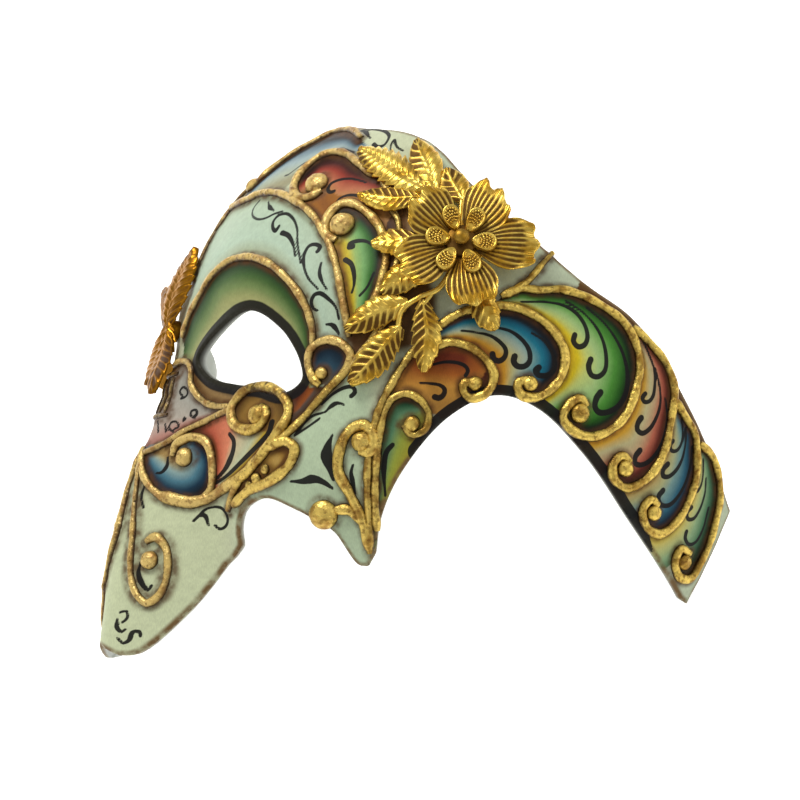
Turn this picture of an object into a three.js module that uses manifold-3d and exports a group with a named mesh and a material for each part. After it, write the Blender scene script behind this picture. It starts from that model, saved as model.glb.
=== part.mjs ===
// A half mask for carnival: a papier-mache shell with piped stucco scrollwork,
// and a stamped brass flower, its leaf spray, its bead and a second leaf over the far brow.
// Everything is laid out flat, on a chart of the face, and then bent on to a head form.
// On the chart, a runs round the head from the nose ridge towards the ear, positive on the
// wearer's left, z runs up the face, and h stands out from the face. Millimetres throughout.
import * as THREE from 'three';
import { mergeVertices } from 'three/addons/utils/BufferGeometryUtils.js';
import Module from 'manifold-3d';

// Head form
const HEAD_HALF_WIDTH = 77;
const HEAD_HALF_DEPTH = 87;
const HEAD_BACK_STRETCH = 1.15;
const HEAD_CENTRE_Y = -90;
const CHART_RADIUS = 80;
const CROWN_HEIGHT_SIDE = 92;
const CROWN_HEIGHT_FRONT = 88;
const CROWN_ROUNDNESS = 2.3;
const JAW_TAPER_SIDE = 0.0028;
const JAW_TAPER_FRONT = 0.0016;
const BRIDGE_RISE = 3.5;
const NOSE_SLOPE = 0.365;
const NOSE_ARCH = 1.2;
const NOSE_LENGTH = 70;
const NOSE_HALF_WIDTH = 16;
const NOSE_FLARE = 0.22;

// Shell, relief and fittings
const WALL = 2.6;
const PLATE_STEP = 13;
const TOUCH_GAP = 0.3;
const ROPE_RADIUS = 1.35;
const ROPE_LIFT = 0.25;
const ROPE_STEP = 9;
const SCROLL_STEP = 4.8;
const ROPE_SIDES = 5;
const BRASS = 0.8;
const LEAF_EDGE = 0.5;
const LEAF_RIDGE = 0.9;
const LEAF_TEETH = 5;
const SPRAY_HEIGHT = 2.1;
const FLOWER_HEIGHT = 3.3;
const FLOWER_AT = [96.2, 36];
const PETAL_ROOT = 3.6;
const PETAL_HALF_WIDTH = 7;
const PETAL_RIBS = 3;
const LOBE_COUNT = 6;
const LOBE_RADIUS = 2.5;
const LOBE_OUT = 6.3;
const HUB_RISE = 2.2;
const BEAD_RADIUS = 2.2;
const ARM_TRIM = [[187, -33], [179.5, -56]];
const FIRST_DOWN = new THREE.Vector3(0.77, -0.49, -0.4);

const wasm = await Module();
wasm.setup();

// Rises smoothly from 0 to 1 as t goes from 0 to 1
function smooth(t) {
  const c = Math.min(Math.max(t, 0), 1);
  return c * c * (3 - 2 * c);
}

// A soft bump of height 1 at the middle, falling off over the two widths
function bump(da, wa, dz, wz) {
  return Math.exp(-((da / wa) ** 2) - (dz / wz) ** 2);
}

// How far the head narrows at height z under a crown of the given height
function dome(z, crown) {
  const t = Math.min(Math.max(z / crown, 0), 0.985);
  return (1 - t ** CROWN_ROUNDNESS) ** (1 / CROWN_ROUNDNESS);
}

// A rounded wedge: 1 on the ridge, fading out at the foot
function wedge(t) {
  const x = 1.02 - Math.sqrt(t * t + 0.02);
  const top = 1.02 - Math.sqrt(0.02);
  const soft = (v) => 0.5 * (v + Math.sqrt(v * v + 0.0121));
  return soft(x) / soft(top);
}

function noseRise(a, z) {
  const down = Math.max(-z, 0);
  const above = BRIDGE_RISE * Math.exp(-((z / 9) ** 2));
  const bow = NOSE_ARCH * Math.sin(Math.PI * Math.min(down / NOSE_LENGTH, 1));
  const below = BRIDGE_RISE + NOSE_SLOPE * down + bow;
  const t = Math.abs(a) / (NOSE_HALF_WIDTH + NOSE_FLARE * down);
  return (z > 0 ? above : below) * wedge(t) * Math.min(Math.max(2.2 - t, 0), 1);
}

function faceRadius(a, z) {
  const turn = a / CHART_RADIUS;
  const low = Math.min(z - 5, 0) ** 2;
  const halfWidth = HEAD_HALF_WIDTH * dome(z, CROWN_HEIGHT_SIDE) - JAW_TAPER_SIDE * low;
  let halfDepth = HEAD_HALF_DEPTH * dome(z, CROWN_HEIGHT_FRONT) - JAW_TAPER_FRONT * low;
  if (Math.cos(turn) < 0) halfDepth *= HEAD_BACK_STRETCH;
  const head = 1 / Math.hypot(Math.sin(turn) / halfWidth, Math.cos(turn) / halfDepth);
  const side = Math.abs(a);
  const socket = 4 * bump(side - 36, 17, z - 6, 13);
  const brow = 2.2 * bump(side - 34, 24, z - 28, 9);
  const cheek = 3 * bump(side - 50, 16, z + 24, 14);
  const farCorner = 9 * smooth((-a - 10) / 14) * bump(0, 1, z - 8, 16);
  return head + noseRise(a, z) - socket + brow + cheek - farCorner;
}

// The point of the face at a, z. The wearer's left is at minus X, and the face looks along +Y.
function facePoint(a, z) {
  const turn = a / CHART_RADIUS;
  const r = faceRadius(a, z);
  return new THREE.Vector3(-r * Math.sin(turn), HEAD_CENTRE_Y + r * Math.cos(turn), z);
}

function faceNormal(a, z) {
  const e = 0.4;
  const alongA = facePoint(a + e, z).sub(facePoint(a - e, z));
  const alongZ = facePoint(a, z + e).sub(facePoint(a, z - e));
  return alongA.cross(alongZ).normalize();
}

// Bends a flat solid, with a, z and h as its x, y and z, on to the head form
function bend(geometry) {
  const p = geometry.attributes.position;
  for (let i = 0; i < p.count; i += 1) {
    const [a, z, h] = [p.getX(i), p.getY(i), p.getZ(i)];
    const at = facePoint(a, z).addScaledVector(faceNormal(a, z), h);
    p.setXYZ(i, at.x, at.y, at.z);
  }
  return geometry;
}

function toSolid(geometry) {
  const bare = geometry.clone();
  for (const name of Object.keys(bare.attributes)) {
    if (name !== 'position') bare.deleteAttribute(name);
  }
  const merged = mergeVertices(bare, 1e-4);
  return new wasm.Manifold(new wasm.Mesh({
    numProp: 3,
    vertProperties: new Float32Array(merged.attributes.position.array),
    triVerts: new Uint32Array(merged.index.array),
  }));
}

function toGeometry(solid) {
  const mesh = solid.getMesh();
  const geometry = new THREE.BufferGeometry();
  geometry.setAttribute('position', new THREE.BufferAttribute(new Float32Array(mesh.vertProperties), 3));
  geometry.setIndex(new THREE.BufferAttribute(new Uint32Array(mesh.triVerts), 1));
  return geometry;
}

function join(solids) {
  return solids.reduce((sum, next) => sum.add(next));
}

// A smooth line through chart points
function smoothLine(points) {
  const knots = points.map(([a, z]) => new THREE.Vector3(a, z, ROPE_LIFT));
  return new THREE.CatmullRomCurve3(knots, false, 'centripetal');
}

// Points along a smooth line, about `step` apart
function sampled(points, step) {
  const line = smoothLine(points);
  const count = Math.max(2, Math.round(line.getLength() / step));
  return line.getSpacedPoints(count).map((p) => new THREE.Vector2(p.x, p.y));
}

// Turns a rope's end round the middle of a volute, drawing in to `inner`; stretch widens it along a
function curl(from, middle, turns, inner, stretch = 1) {
  const start = [(from[0] - middle[0]) / stretch, from[1] - middle[1]];
  const outer = Math.hypot(start[0], start[1]);
  const angle = Math.atan2(start[1], start[0]);
  const count = Math.ceil(Math.abs(turns) * 8);
  return Array.from({ length: count }, (_, i) => {
    const t = (i + 1) / count;
    const r = outer + (inner - outer) * t;
    const at = angle + 2 * Math.PI * turns * t;
    return [middle[0] + stretch * r * Math.cos(at), middle[1] + r * Math.sin(at)];
  });
}

// Outline of the shell on the chart, one smooth line between each two corners
const EDGES = {
  farTemple: [[-66, 40], [-72.5, 49], [-81, 60]],
  crown: [[-77, 66], [-58, 73], [-30, 78], [0, 79], [45, 77.5], [82, 70], [102, 53.5], [132, 29.5],
    [150, 18.5], [166, -1], [186, -28]],
  armEnd: [[191, -34], [183, -58]],
  earArch: [[176, -55.5], [152, -36], [134, -18.5], [119, -7], [107, -4.3], [94, -10.5], [80.5, -26],
    [74.5, -38], [72.5, -47]],
  cheekTip: [[70, -50.5], [67, -50], [61.5, -42], [59.5, -40]],
  nostrilArch: [[52, -36], [42, -32], [33, -34.5], [30.5, -39], [30.5, -44]],
  nearNoseWall: [[26, -49], [19, -62], [10, -73.5], [6, -74]],
  noseTip: [[0, -71], [-6, -74]],
  farNoseWall: [[-10, -73], [-19, -61], [-26, -48], [-27, -36], [-22, -12], [-21, 4]],
  farBrow: [[-25, 17], [-36, 27], [-50, 33], [-63, 38]],
};
const EYE_HOLE = [[14, 9.5], [18.5, 3.8], [28.5, 0.6], [38, -1], [47, -3.3], [52.5, 0], [51, 6],
  [44.5, 15], [35.5, 20.5], [25.5, 18]];

// Scrollwork: each rope is a line on the chart, which may end in a curl round the middle of a volute
const ARM_SCROLLS = [
  { line: [[90, 8], [99, 9], [106, 2]], middle: [101.5, -0.5] },
  { line: [[99, 18.5], [109.5, 20], [119, 17.5], [126.5, 8], [124, -1], [118, -4.5]], middle: [116.5, -0.5] },
  { line: [[108, 22.5], [119.5, 25.5], [135, 23.5], [148, 14], [149, 0.5], [142.5, -11], [133, -14]],
    middle: [132, -8.5] },
  { line: [[148, 18], [159, 8], [161.5, -5], [156.5, -22], [149, -26.5]], middle: [148, -22] },
  { line: [[161.5, -1], [169.5, -10.5], [171.5, -22], [167, -35], [159.5, -38]], middle: [159, -33.5] },
  { line: [[171.5, -11], [179.5, -20.5], [181.5, -34], [178, -48], [174, -50]], middle: [174, -45.5] },
];
const SCROLLS = [
  ...ARM_SCROLLS.map((scroll) => ({ ...scroll, turns: -0.8, inner: 1.6 })),
  { line: [[14, -31], [26, -29], [38.5, -23.5], [47, -15], [49, -8]], middle: [38.8, -8], turns: 1.3,
    inner: 2.6, stretch: 1.5 },
  { line: [[0, -16.5], [5, -23.5], [14, -31], [21, -27], [22.5, -20]], middle: [14.5, -20], turns: 0.55,
    inner: 4 },
  { line: [[64, 60], [51, 66.5], [41, 65], [36.5, 58]], middle: [44.5, 57.5], turns: 0.5, inner: 4.5,
    stretch: 1.3 },
  { line: [[74, 22], [75.5, 34], [71.5, 43], [63, 49]], middle: [60, 43.5], turns: 0.7, inner: 3.2,
    stretch: 1.1 },
  { line: [[73.5, -42], [73.5, -25], [75, -13], [82, -5]], middle: [83, -12], turns: -0.6, inner: 4 },
  { line: [[72, -46], [69, -36], [64, -26], [64.5, -18], [70, -13.5]], middle: [70.5, -18], turns: -0.35,
    inner: 3.5 },
  { line: [[4, -26], [7, -46], [8.5, -60], [12, -64.5]], middle: [11.5, -54], turns: 0.5, inner: 7,
    stretch: 0.6 },
];
const ROPES = [
  [[8, 28], [15, 36.5], [26, 38.3], [38.5, 34.5], [48.5, 27], [53.5, 19], [56, 12]],
  [[-3, 56], [13, 58], [28, 56], [41, 51], [53, 42.5], [60, 33], [64.5, 22], [66.5, 11]],
  [[3, 60], [7, 70], [20, 76], [38, 76], [52, 71.5]],
  [[-2, 34], [-3, 46], [-2, 60]],
  [[0, 9], [5, 10], [10, 8.3], [12.3, 3], [14.5, -1], [20, -4.5], [29, -6.2]],
  [[29, -6.2], [20, -8.7], [13, -11.3], [5, -15.5], [0, -16.5]],
  [[74, 13], [67.5, 4], [61, -3], [50, -15], [40, -21.5], [30.5, -29.5], [27.5, -35.5]],
  [[46, -18], [52.5, -18.5], [51.5, -23.5], [44.5, -28], [34, -31.5]],
  [[67, 9], [60, 10.8], [55.5, 8], [54, 2.5], [56, -2.8]],
  [[99, 18.5], [90.5, 13.5], [84.5, 7.5], [79.5, 0], [75, -9], [72, -22.5], [71.5, -46]],
  [[112.5, 24.5], [117, 28], [121.5, 34.5]],
  [[-1.6, -18], [-1.6, -45], [-1.2, -66]],
  [[1.6, -18], [1.8, -45], [1.6, -58]],
  [[-1.5, 5], [-1.5, -5]],
  [[4, 5], [4, -5]],
  [[0, -16.5], [-6, -23], [-14, -30], [-21, -26], [-22, -19]],
  [[-4, -30], [-7, -46], [-8.5, -60], [-12, -63.5], [-14.5, -57]],
];
const BALLS = [
  { at: [38.8, -8], radius: 2.6 }, { at: [14.5, -19.5], radius: 2.6 }, { at: [44.5, 57.5], radius: 3.6 },
  { at: [59.5, 43.2], radius: 3.4 }, { at: [59.5, 1], radius: 2 }, { at: [83.5, -13], radius: 2.4 },
  { at: [70.5, -18], radius: 3 }, { at: [58.5, -37], radius: 3.6 }, { at: [11.5, -51], radius: 1.8 },
  { at: [4, 61], radius: 2.6 },
  ...ARM_SCROLLS.map(({ middle }) => ({ at: middle, radius: 1.5 })),
];

function ropeSolid(points, step) {
  const line = smoothLine(points);
  const section = new THREE.Shape();
  for (let i = 0; i < ROPE_SIDES; i += 1) {
    const turn = (2 * Math.PI * (i + 0.5)) / ROPE_SIDES;
    const [x, y] = [ROPE_RADIUS * Math.cos(turn), ROPE_RADIUS * Math.sin(turn)];
    if (i === 0) section.moveTo(x, y);
    else section.lineTo(x, y);
  }
  const steps = Math.max(2, Math.round(line.getLength() / step));
  return toSolid(new THREE.ExtrudeGeometry(section, { steps, extrudePath: line, bevelEnabled: false }));
}

function ballSolid({ at, radius }) {
  const ball = new THREE.SphereGeometry(radius, 8, 5);
  ball.rotateX(Math.PI / 2);
  ball.scale(1, 1, 0.75);
  ball.translate(at[0], at[1], ROPE_LIFT);
  return toSolid(ball);
}

function plateSolid() {
  const [low, high] = [[-70, -80], [192, 84]];
  const [width, height] = [high[0] - low[0], high[1] - low[1]];
  const plate = new THREE.BoxGeometry(width, height, WALL,
    Math.round(width / PLATE_STEP), Math.round(height / PLATE_STEP), 1);
  plate.translate(low[0] + width / 2, low[1] + height / 2, -WALL / 2);
  const outline = new THREE.Shape(Object.values(EDGES).flatMap((edge) => sampled(edge, 4)));
  const eye = smoothLine([...EYE_HOLE, EYE_HOLE[0]]).getSpacedPoints(26).slice(0, -1);
  outline.holes.push(new THREE.Path(eye.map((p) => new THREE.Vector2(p.x, p.y))));
  const cutter = new THREE.ExtrudeGeometry(outline, { depth: 4 * WALL, bevelEnabled: false });
  cutter.translate(0, 0, -2 * WALL);
  return toSolid(plate).intersect(toSolid(cutter));
}

function shell() {
  const ropes = SCROLLS.map(({ line, middle, turns, inner, stretch }) => (
    [...line, ...curl(line.at(-1), middle, turns, inner, stretch)]));
  return join([
    plateSolid(),
    ...ropes.map((points) => ropeSolid(points, SCROLL_STEP)),
    ...ROPES.map((points) => ropeSolid(points, ROPE_STEP)),
    ...BALLS.map(ballSolid),
  ]);
}

// A closed sheet over a grid of u and v, from its underside at w = 0 to its top at w = 1
function sheetSolid(at, nu, nv) {
  const sheet = new THREE.BoxGeometry(1, 1, 1, nu, nv, 1);
  const p = sheet.attributes.position;
  for (let i = 0; i < p.count; i += 1) {
    p.setXYZ(i, ...at(p.getX(i) + 0.5, p.getY(i) + 0.5, p.getZ(i) + 0.5));
  }
  return toSolid(sheet);
}

function discSolid(at, radius, low, high) {
  const disc = new THREE.CylinderGeometry(radius, radius, high - low, 12);
  disc.rotateX(Math.PI / 2);
  disc.translate(at[0], at[1], (low + high) / 2);
  return toSolid(disc);
}

// A fan-shaped petal with flutes running out from the middle and a waved, lifted rim
function petalSolid([degrees, length]) {
  const turn = degrees * Math.PI / 180;
  return sheetSolid((u, v, w) => {
    const side = 1 - 2 * u;
    const out = PETAL_ROOT + v * (length - PETAL_ROOT) * (1 - 0.3 * side ** 4);
    const spread = side * PETAL_HALF_WIDTH * Math.sin(Math.PI * (0.07 + 0.53 * v));
    const flute = 0.35 * Math.cos(Math.PI * side * PETAL_RIBS) * v;
    const rise = 3.2 * Math.sin(Math.PI * 0.62 * v) * (1 - 0.35 * side * side);
    return [FLOWER_AT[0] + out * Math.cos(turn) - spread * Math.sin(turn),
      FLOWER_AT[1] + out * Math.sin(turn) + spread * Math.cos(turn),
      FLOWER_HEIGHT + 0.2 + rise + flute + BRASS * w];
  }, 2 * PETAL_RIBS, 3);
}

// A seed lobe standing between the middle of the flower and the petals
function lobeSolid(turn) {
  const lobe = new THREE.SphereGeometry(LOBE_RADIUS, 6, 3);
  lobe.scale(1.3, 1, 0.55);
  lobe.rotateZ(turn);
  lobe.translate(FLOWER_AT[0] + LOBE_OUT * Math.cos(turn), FLOWER_AT[1] + LOBE_OUT * Math.sin(turn),
    FLOWER_HEIGHT + 2.6);
  return toSolid(lobe);
}

// The turn of each petal round the middle, in degrees, and its length
const PETALS = [[-3, 21], [54, 17], [139, 17.2], [208, 17.8], [285, 18]];

function flower() {
  const turns = Array.from({ length: LOBE_COUNT }, (_, i) => (2 * Math.PI * (i - 0.08)) / LOBE_COUNT);
  const hub = discSolid(FLOWER_AT, 4.2, FLOWER_HEIGHT, FLOWER_HEIGHT + HUB_RISE);
  return join([hub, ...PETALS.map(petalSolid), ...turns.map(lobeSolid)]);
}

function bead() {
  const ball = new THREE.SphereGeometry(BEAD_RADIUS, 10, 6);
  ball.rotateX(Math.PI / 2);
  ball.scale(1, 1, 0.8);
  ball.translate(FLOWER_AT[0], FLOWER_AT[1], FLOWER_HEIGHT + HUB_RISE + TOUCH_GAP + 0.8 * BEAD_RADIUS);
  return toSolid(ball);
}

// A toothed leaf from base to tip, ridged along its midrib, lifted by rise at its tip and by tilt
// at its left edge
function leafSolid([base, tip, halfWidth, rise = 0, tilt = 0], height) {
  const along = [tip[0] - base[0], tip[1] - base[1]];
  const length = Math.hypot(along[0], along[1]);
  const [da, dz] = [along[0] / length, along[1] / length];
  return sheetSolid((u, v, w) => {
    const side = 1 - 2 * u;
    const teeth = 1 + 0.12 * Math.cos(LEAF_TEETH * Math.PI * v);
    const width = halfWidth * Math.sin(Math.PI * (0.06 + 0.9 * v)) ** 0.8 * teeth;
    const thickness = LEAF_EDGE + LEAF_RIDGE * (1 - Math.abs(side));
    return [base[0] + v * length * da - side * width * dz, base[1] + v * length * dz + side * width * da,
      height + rise * v + tilt * side * (width / halfWidth) + thickness * w];
  }, 2, LEAF_TEETH);
}

const SPRAY_LEAVES = [
  [[86.5, 51.5], [57.6, 64.5], 4.6], [[88.2, 51], [78.5, 67.6], 5], [[96.2, 48.5], [91.5, 58.5], 4.5],
  [[83.8, 49.2], [64, 50.7], 3.6], [[84, 38], [71.2, 35.2], 3.8], [[86.5, 29.5], [75.2, 22.2], 4.2],
  [[82.5, 20], [65.6, 13.3], 4.3], [[81, 13], [67, -1.5], 4.6], [[86.5, 20.5], [87.5, 1], 4],
  [[100, 22.5], [107.3, 13.5], 4],
];
const SPRAY_STEMS = [
  [[95, 31], [90.4, 23.5], [85.2, 21], [80.9, 17.5], [80, 12]], [[89, 22.6], [86.5, 19]],
  [[93, 32], [86, 29]], [[98, 32], [100.5, 21.5]], [[94, 41], [87.5, 52]], [[95.7, 41], [96, 49.5]],
  [[93, 40], [85, 50]], [[91, 37.5], [83, 38]],
];

function stemSolid(points) {
  const line = new THREE.CatmullRomCurve3(
    points.map(([a, z]) => new THREE.Vector3(a, z, SPRAY_HEIGHT + BRASS / 2)), false, 'centripetal');
  const section = new THREE.Shape([[-0.6, -0.38], [0.6, -0.38], [0.6, 0.38], [-0.6, 0.38]]
    .map(([x, y]) => new THREE.Vector2(y, x)));
  const steps = Math.max(2, Math.round(line.getLength() / 5));
  return toSolid(new THREE.ExtrudeGeometry(section, { steps, extrudePath: line, bevelEnabled: false }));
}

function leafSpray() {
  const pad = discSolid(FLOWER_AT, 7, SPRAY_HEIGHT, FLOWER_HEIGHT - TOUCH_GAP);
  const foot = discSolid(FLOWER_AT, 3.5, TOUCH_GAP, SPRAY_HEIGHT + 0.4);
  const leaves = SPRAY_LEAVES.map((leaf) => leafSolid(leaf, SPRAY_HEIGHT));
  return join([foot, pad, ...leaves, ...SPRAY_STEMS.map(stemSolid)]);
}

// Leaves standing off the far brow, over the bridge of the nose
const FAR_LEAF_HEIGHT = 3.1;
const FAR_LEAVES = [
  [[-4.5, 21], [-4.5, 43], 4.8, -0.6, 0.8], [[-4.5, 21], [-5, 3], 5, 2, -1.5],
  [[-3.5, 19], [0, 0], 3.8, 1, -0.5], [[-7, 22], [-18, 33], 4.5, 3, 0], [[-7, 18], [-16, 5], 5, 3, 0],
];

function farLeaves() {
  const foot = discSolid([-6, 20], 3, TOUCH_GAP, FAR_LEAF_HEIGHT + 1);
  return join([foot, ...FAR_LEAVES.map((leaf) => leafSolid(leaf, FAR_LEAF_HEIGHT))]);
}

const FINISHES = {
  gildedPaper: { color: 0xd8ccaa, roughness: 0.55, metalness: 0.1 },
  brass: { color: 0xc9a227, roughness: 0.35, metalness: 0.9 },
};

// The arm is trimmed off flat at its end, where the ribbon is fastened
function trimArmEnd(geometry) {
  const [upper, lower] = [facePoint(...ARM_TRIM[0]), facePoint(...ARM_TRIM[1])];
  const outwards = lower.clone().sub(upper).cross(faceNormal(...ARM_TRIM[0])).normalize().negate();
  const waste = new THREE.BoxGeometry(80, 80, 30);
  waste.translate(0, 0, 15);
  waste.applyQuaternion(new THREE.Quaternion().setFromUnitVectors(new THREE.Vector3(0, 0, 1), outwards));
  waste.translate(...upper.add(lower).multiplyScalar(0.5).toArray());
  return toGeometry(toSolid(geometry).subtract(toSolid(waste)));
}

function piece(name, geometry, finish) {
  const mesh = new THREE.Mesh(geometry, new THREE.MeshStandardMaterial(FINISHES[finish]));
  mesh.name = name;
  return mesh;
}

// The way down, as the mask lies on its three feet: the arm's end, the far nose wall and the far
// temple. Each foot is whichever point of its own part of the shell is lowest, found anew as the
// mask tips on to them.
function downward(geometry) {
  const points = Array.from({ length: geometry.attributes.position.count }, (_, i) => (
    new THREE.Vector3().fromBufferAttribute(geometry.attributes.position, i)));
  const parts = [
    points.filter((p) => p.y < -110),
    points.filter((p) => p.x > 10 && p.z < -20),
    points.filter((p) => p.x > 30 && p.z > 20),
  ];
  const down = FIRST_DOWN.clone().normalize();
  for (let round = 0; round < 12; round += 1) {
    const [arm, nose, temple] = parts.map((part) => (
      part.reduce((low, p) => (p.dot(down) > low.dot(down) ? p : low))));
    const normal = nose.clone().sub(arm).cross(temple.clone().sub(arm)).normalize();
    down.copy(normal.dot(down) < 0 ? normal.negate() : normal);
  }
  return down;
}

const shellGeometry = trimArmEnd(bend(toGeometry(shell())));
const mask = new THREE.Group();
mask.add(
  piece('mask_shell', shellGeometry, 'gildedPaper'),
  piece('leaf_spray', bend(toGeometry(leafSpray())), 'brass'),
  piece('flower', bend(toGeometry(flower())), 'brass'),
  piece('flower_bead', bend(toGeometry(bead())), 'brass'),
  piece('far_brow_leaves', bend(toGeometry(farLeaves())), 'brass'),
);

// Lays the mask down and turns it so that its decorated side looks towards -Y, crown up the page
const lay = new THREE.Quaternion().setFromUnitVectors(downward(shellGeometry), new THREE.Vector3(0, 0, -1));
const crownWay = new THREE.Vector3(0, 0, 1).applyQuaternion(lay);
const spin = new THREE.Quaternion().setFromAxisAngle(
  new THREE.Vector3(0, 0, 1), Math.PI / 2 - Math.atan2(crownWay.y, crownWay.x));
mask.quaternion.copy(spin.multiply(lay));
mask.updateMatrixWorld(true);
const box = new THREE.Box3().setFromObject(mask, true);
mask.position.set(-(box.min.x + box.max.x) / 2, -(box.min.y + box.max.y) / 2, -box.min.z);

export default mask;
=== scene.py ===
"""Builds the looks of a carnival half mask on its CAD frame: a painted papier-mache shell with
gilded stucco scrolls, and a stamped brass flower with its leaves. The face is laid out flat on a
chart: a runs round the head from the nose ridge, positive on the wearer's left, z runs up the
face, and h stands out from the face, all in millimetres."""
import math

import bpy
import numpy as np
from mathutils import Matrix, Vector, kdtree


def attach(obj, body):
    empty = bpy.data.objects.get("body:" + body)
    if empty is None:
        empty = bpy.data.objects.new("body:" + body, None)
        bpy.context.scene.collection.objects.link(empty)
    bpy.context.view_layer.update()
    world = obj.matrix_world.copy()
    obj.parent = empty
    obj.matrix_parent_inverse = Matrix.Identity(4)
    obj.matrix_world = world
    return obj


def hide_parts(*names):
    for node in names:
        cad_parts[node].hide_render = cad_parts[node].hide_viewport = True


bl_info = {
    "name": "Carnival half mask",
    "version": (1, 0, 0),
    "blender": (4, 5, 0),
    "location": "View3D > Sidebar > Half mask",
    "description": "Builds a painted and gilded carnival half mask on its CAD frame",
    "category": "Add Mesh",
}

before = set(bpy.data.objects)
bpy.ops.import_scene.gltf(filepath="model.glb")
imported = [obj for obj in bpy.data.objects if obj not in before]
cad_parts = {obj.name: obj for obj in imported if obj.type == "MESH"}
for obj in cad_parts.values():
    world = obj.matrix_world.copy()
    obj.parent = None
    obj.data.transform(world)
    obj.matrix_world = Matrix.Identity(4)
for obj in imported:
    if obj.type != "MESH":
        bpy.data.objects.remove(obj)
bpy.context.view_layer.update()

# ---------------------------------------------------------------- head form, as in the part's source
CHART_RADIUS = 80.0
WALL = 2.6
HEAD_MIDDLE = -90  # depth of the head's axis behind the nose ridge
# How the head's own axes turn and move to the way the mask lies
HEAD_TURN = (0.404721263248163, -0.2624305578224093, 0.47658063762726266, 0.7349842156363781)
HEAD_PLACE = np.array([-70.20753016576384, -8.224275415939942, 45.70366110380162])


def turn_matrix(w, x, y, z):
    return np.array([
        [1 - 2 * (y * y + z * z), 2 * (x * y - z * w), 2 * (x * z + y * w)],
        [2 * (x * y + z * w), 1 - 2 * (x * x + z * z), 2 * (y * z - x * w)],
        [2 * (x * z - y * w), 2 * (y * z + x * w), 1 - 2 * (x * x + y * y)]])


HEAD_AXES = turn_matrix(*HEAD_TURN)


def dome(z, crown):
    t = np.clip(z / crown, 0, 0.985)
    return (1 - t ** 2.3) ** (1 / 2.3)


def wedge(t):
    def soft(v):
        return 0.5 * (v + np.sqrt(v * v + 0.0121))
    return soft(1.02 - np.sqrt(t * t + 0.02)) / soft(1.02 - math.sqrt(0.02))


def nose_rise(a, z):
    down = np.maximum(-z, 0)
    above = 3.5 * np.exp(-((z / 9) ** 2))
    below = 3.5 + 0.365 * down + 1.2 * np.sin(np.pi * np.minimum(down / 70, 1))
    t = np.abs(a) / (16 + 0.22 * down)
    return np.where(z > 0, above, below) * wedge(t) * np.clip(2.2 - t, 0, 1)


def bump(da, wa, dz, wz):
    return np.exp(-((da / wa) ** 2) - (dz / wz) ** 2)


def smooth(t):
    t = np.clip(t, 0, 1)
    return t * t * (3 - 2 * t)


def face_point(a, z):
    """Point of the bare face at a, z, in the head's own axes."""
    turn = a / CHART_RADIUS
    low = np.minimum(z - 5, 0) ** 2
    half_width = 77 * dome(z, 92) - 0.0028 * low
    half_depth = 87 * dome(z, 88) - 0.0016 * low
    half_depth = np.where(np.cos(turn) < 0, half_depth * 1.15, half_depth)
    r = 1 / np.hypot(np.sin(turn) / half_width, np.cos(turn) / half_depth)
    side = np.abs(a)
    # eye socket, brow, cheek and the cut beside the nose on the far side
    r = r + nose_rise(a, z) - 4 * bump(side - 36, 17, z - 6, 13) + 2.2 * bump(side - 34, 24, z - 28, 9)
    r = r + 3 * bump(side - 50, 16, z + 24, 14) - 9 * smooth((-a - 10) / 14) * bump(0, 1, z - 8, 16)
    return np.stack([-r * np.sin(turn), HEAD_MIDDLE + r * np.cos(turn), z + 0 * r], -1)


def face_normal(a, z):
    e = 0.4
    n = np.cross(face_point(a + e, z) - face_point(a - e, z), face_point(a, z + e) - face_point(a, z - e))
    return n / np.linalg.norm(n, axis=-1, keepdims=True)


def lying(points):
    """Points in the head's own axes, turned and moved to the way the mask lies, in metres."""
    return (points @ HEAD_AXES.T + HEAD_PLACE) / 1000


def on_face(a, z, h):
    """Points of the lying mask, in metres, at height h over chart points."""
    a, z, h = (np.asarray(v, float) for v in np.broadcast_arrays(a, z, h))
    return lying(face_point(a, z) + face_normal(a, z) * h[..., None])


def pairs(*numbers):
    """Chart points from a row of numbers: a, z, a, z and so on."""
    return list(zip(numbers[::2], numbers[1::2]))


# ---------------------------------------------------------------- lines on the chart
# The shell's edge, in pieces with corners between them
EDGES = [
    pairs(-66, 40, -72.5, 49, -81, 60),
    pairs(-77, 66, -58, 73, -30, 78, 0, 79, 45, 77.5, 82, 70, 102, 53.5, 132, 29.5, 150, 18.5, 166, -1, 186, -28),
    [(191, -34), (183, -58)],
    pairs(176, -55.5, 152, -36, 134, -18.5, 119, -7, 107, -4.3, 94, -10.5, 80.5, -26, 74.5, -38, 72.5, -47),
    pairs(70, -50.5, 67, -50, 61.5, -42, 59.5, -40),
    pairs(52, -36, 42, -32, 33, -34.5, 30.5, -39, 30.5, -44),
    pairs(26, -49, 19, -62, 10, -73.5, 6, -74),
    [(0, -71), (-6, -74)],
    pairs(-10, -73, -19, -61, -26, -48, -27, -36, -22, -12, -21, 4),
    pairs(-25, 17, -36, 27, -50, 33, -63, 38),
]
EAR_ARCH = EDGES[3]
EYE_HOLE = pairs(14, 9.5, 18.5, 3.8, 28.5, 0.6, 38, -1, 47, -3.3, 52.5, 0, 51, 6, 44.5, 15, 35.5, 20.5, 25.5, 18)
ARM_TRIM = [(187, -33), (179.5, -56)]
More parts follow.
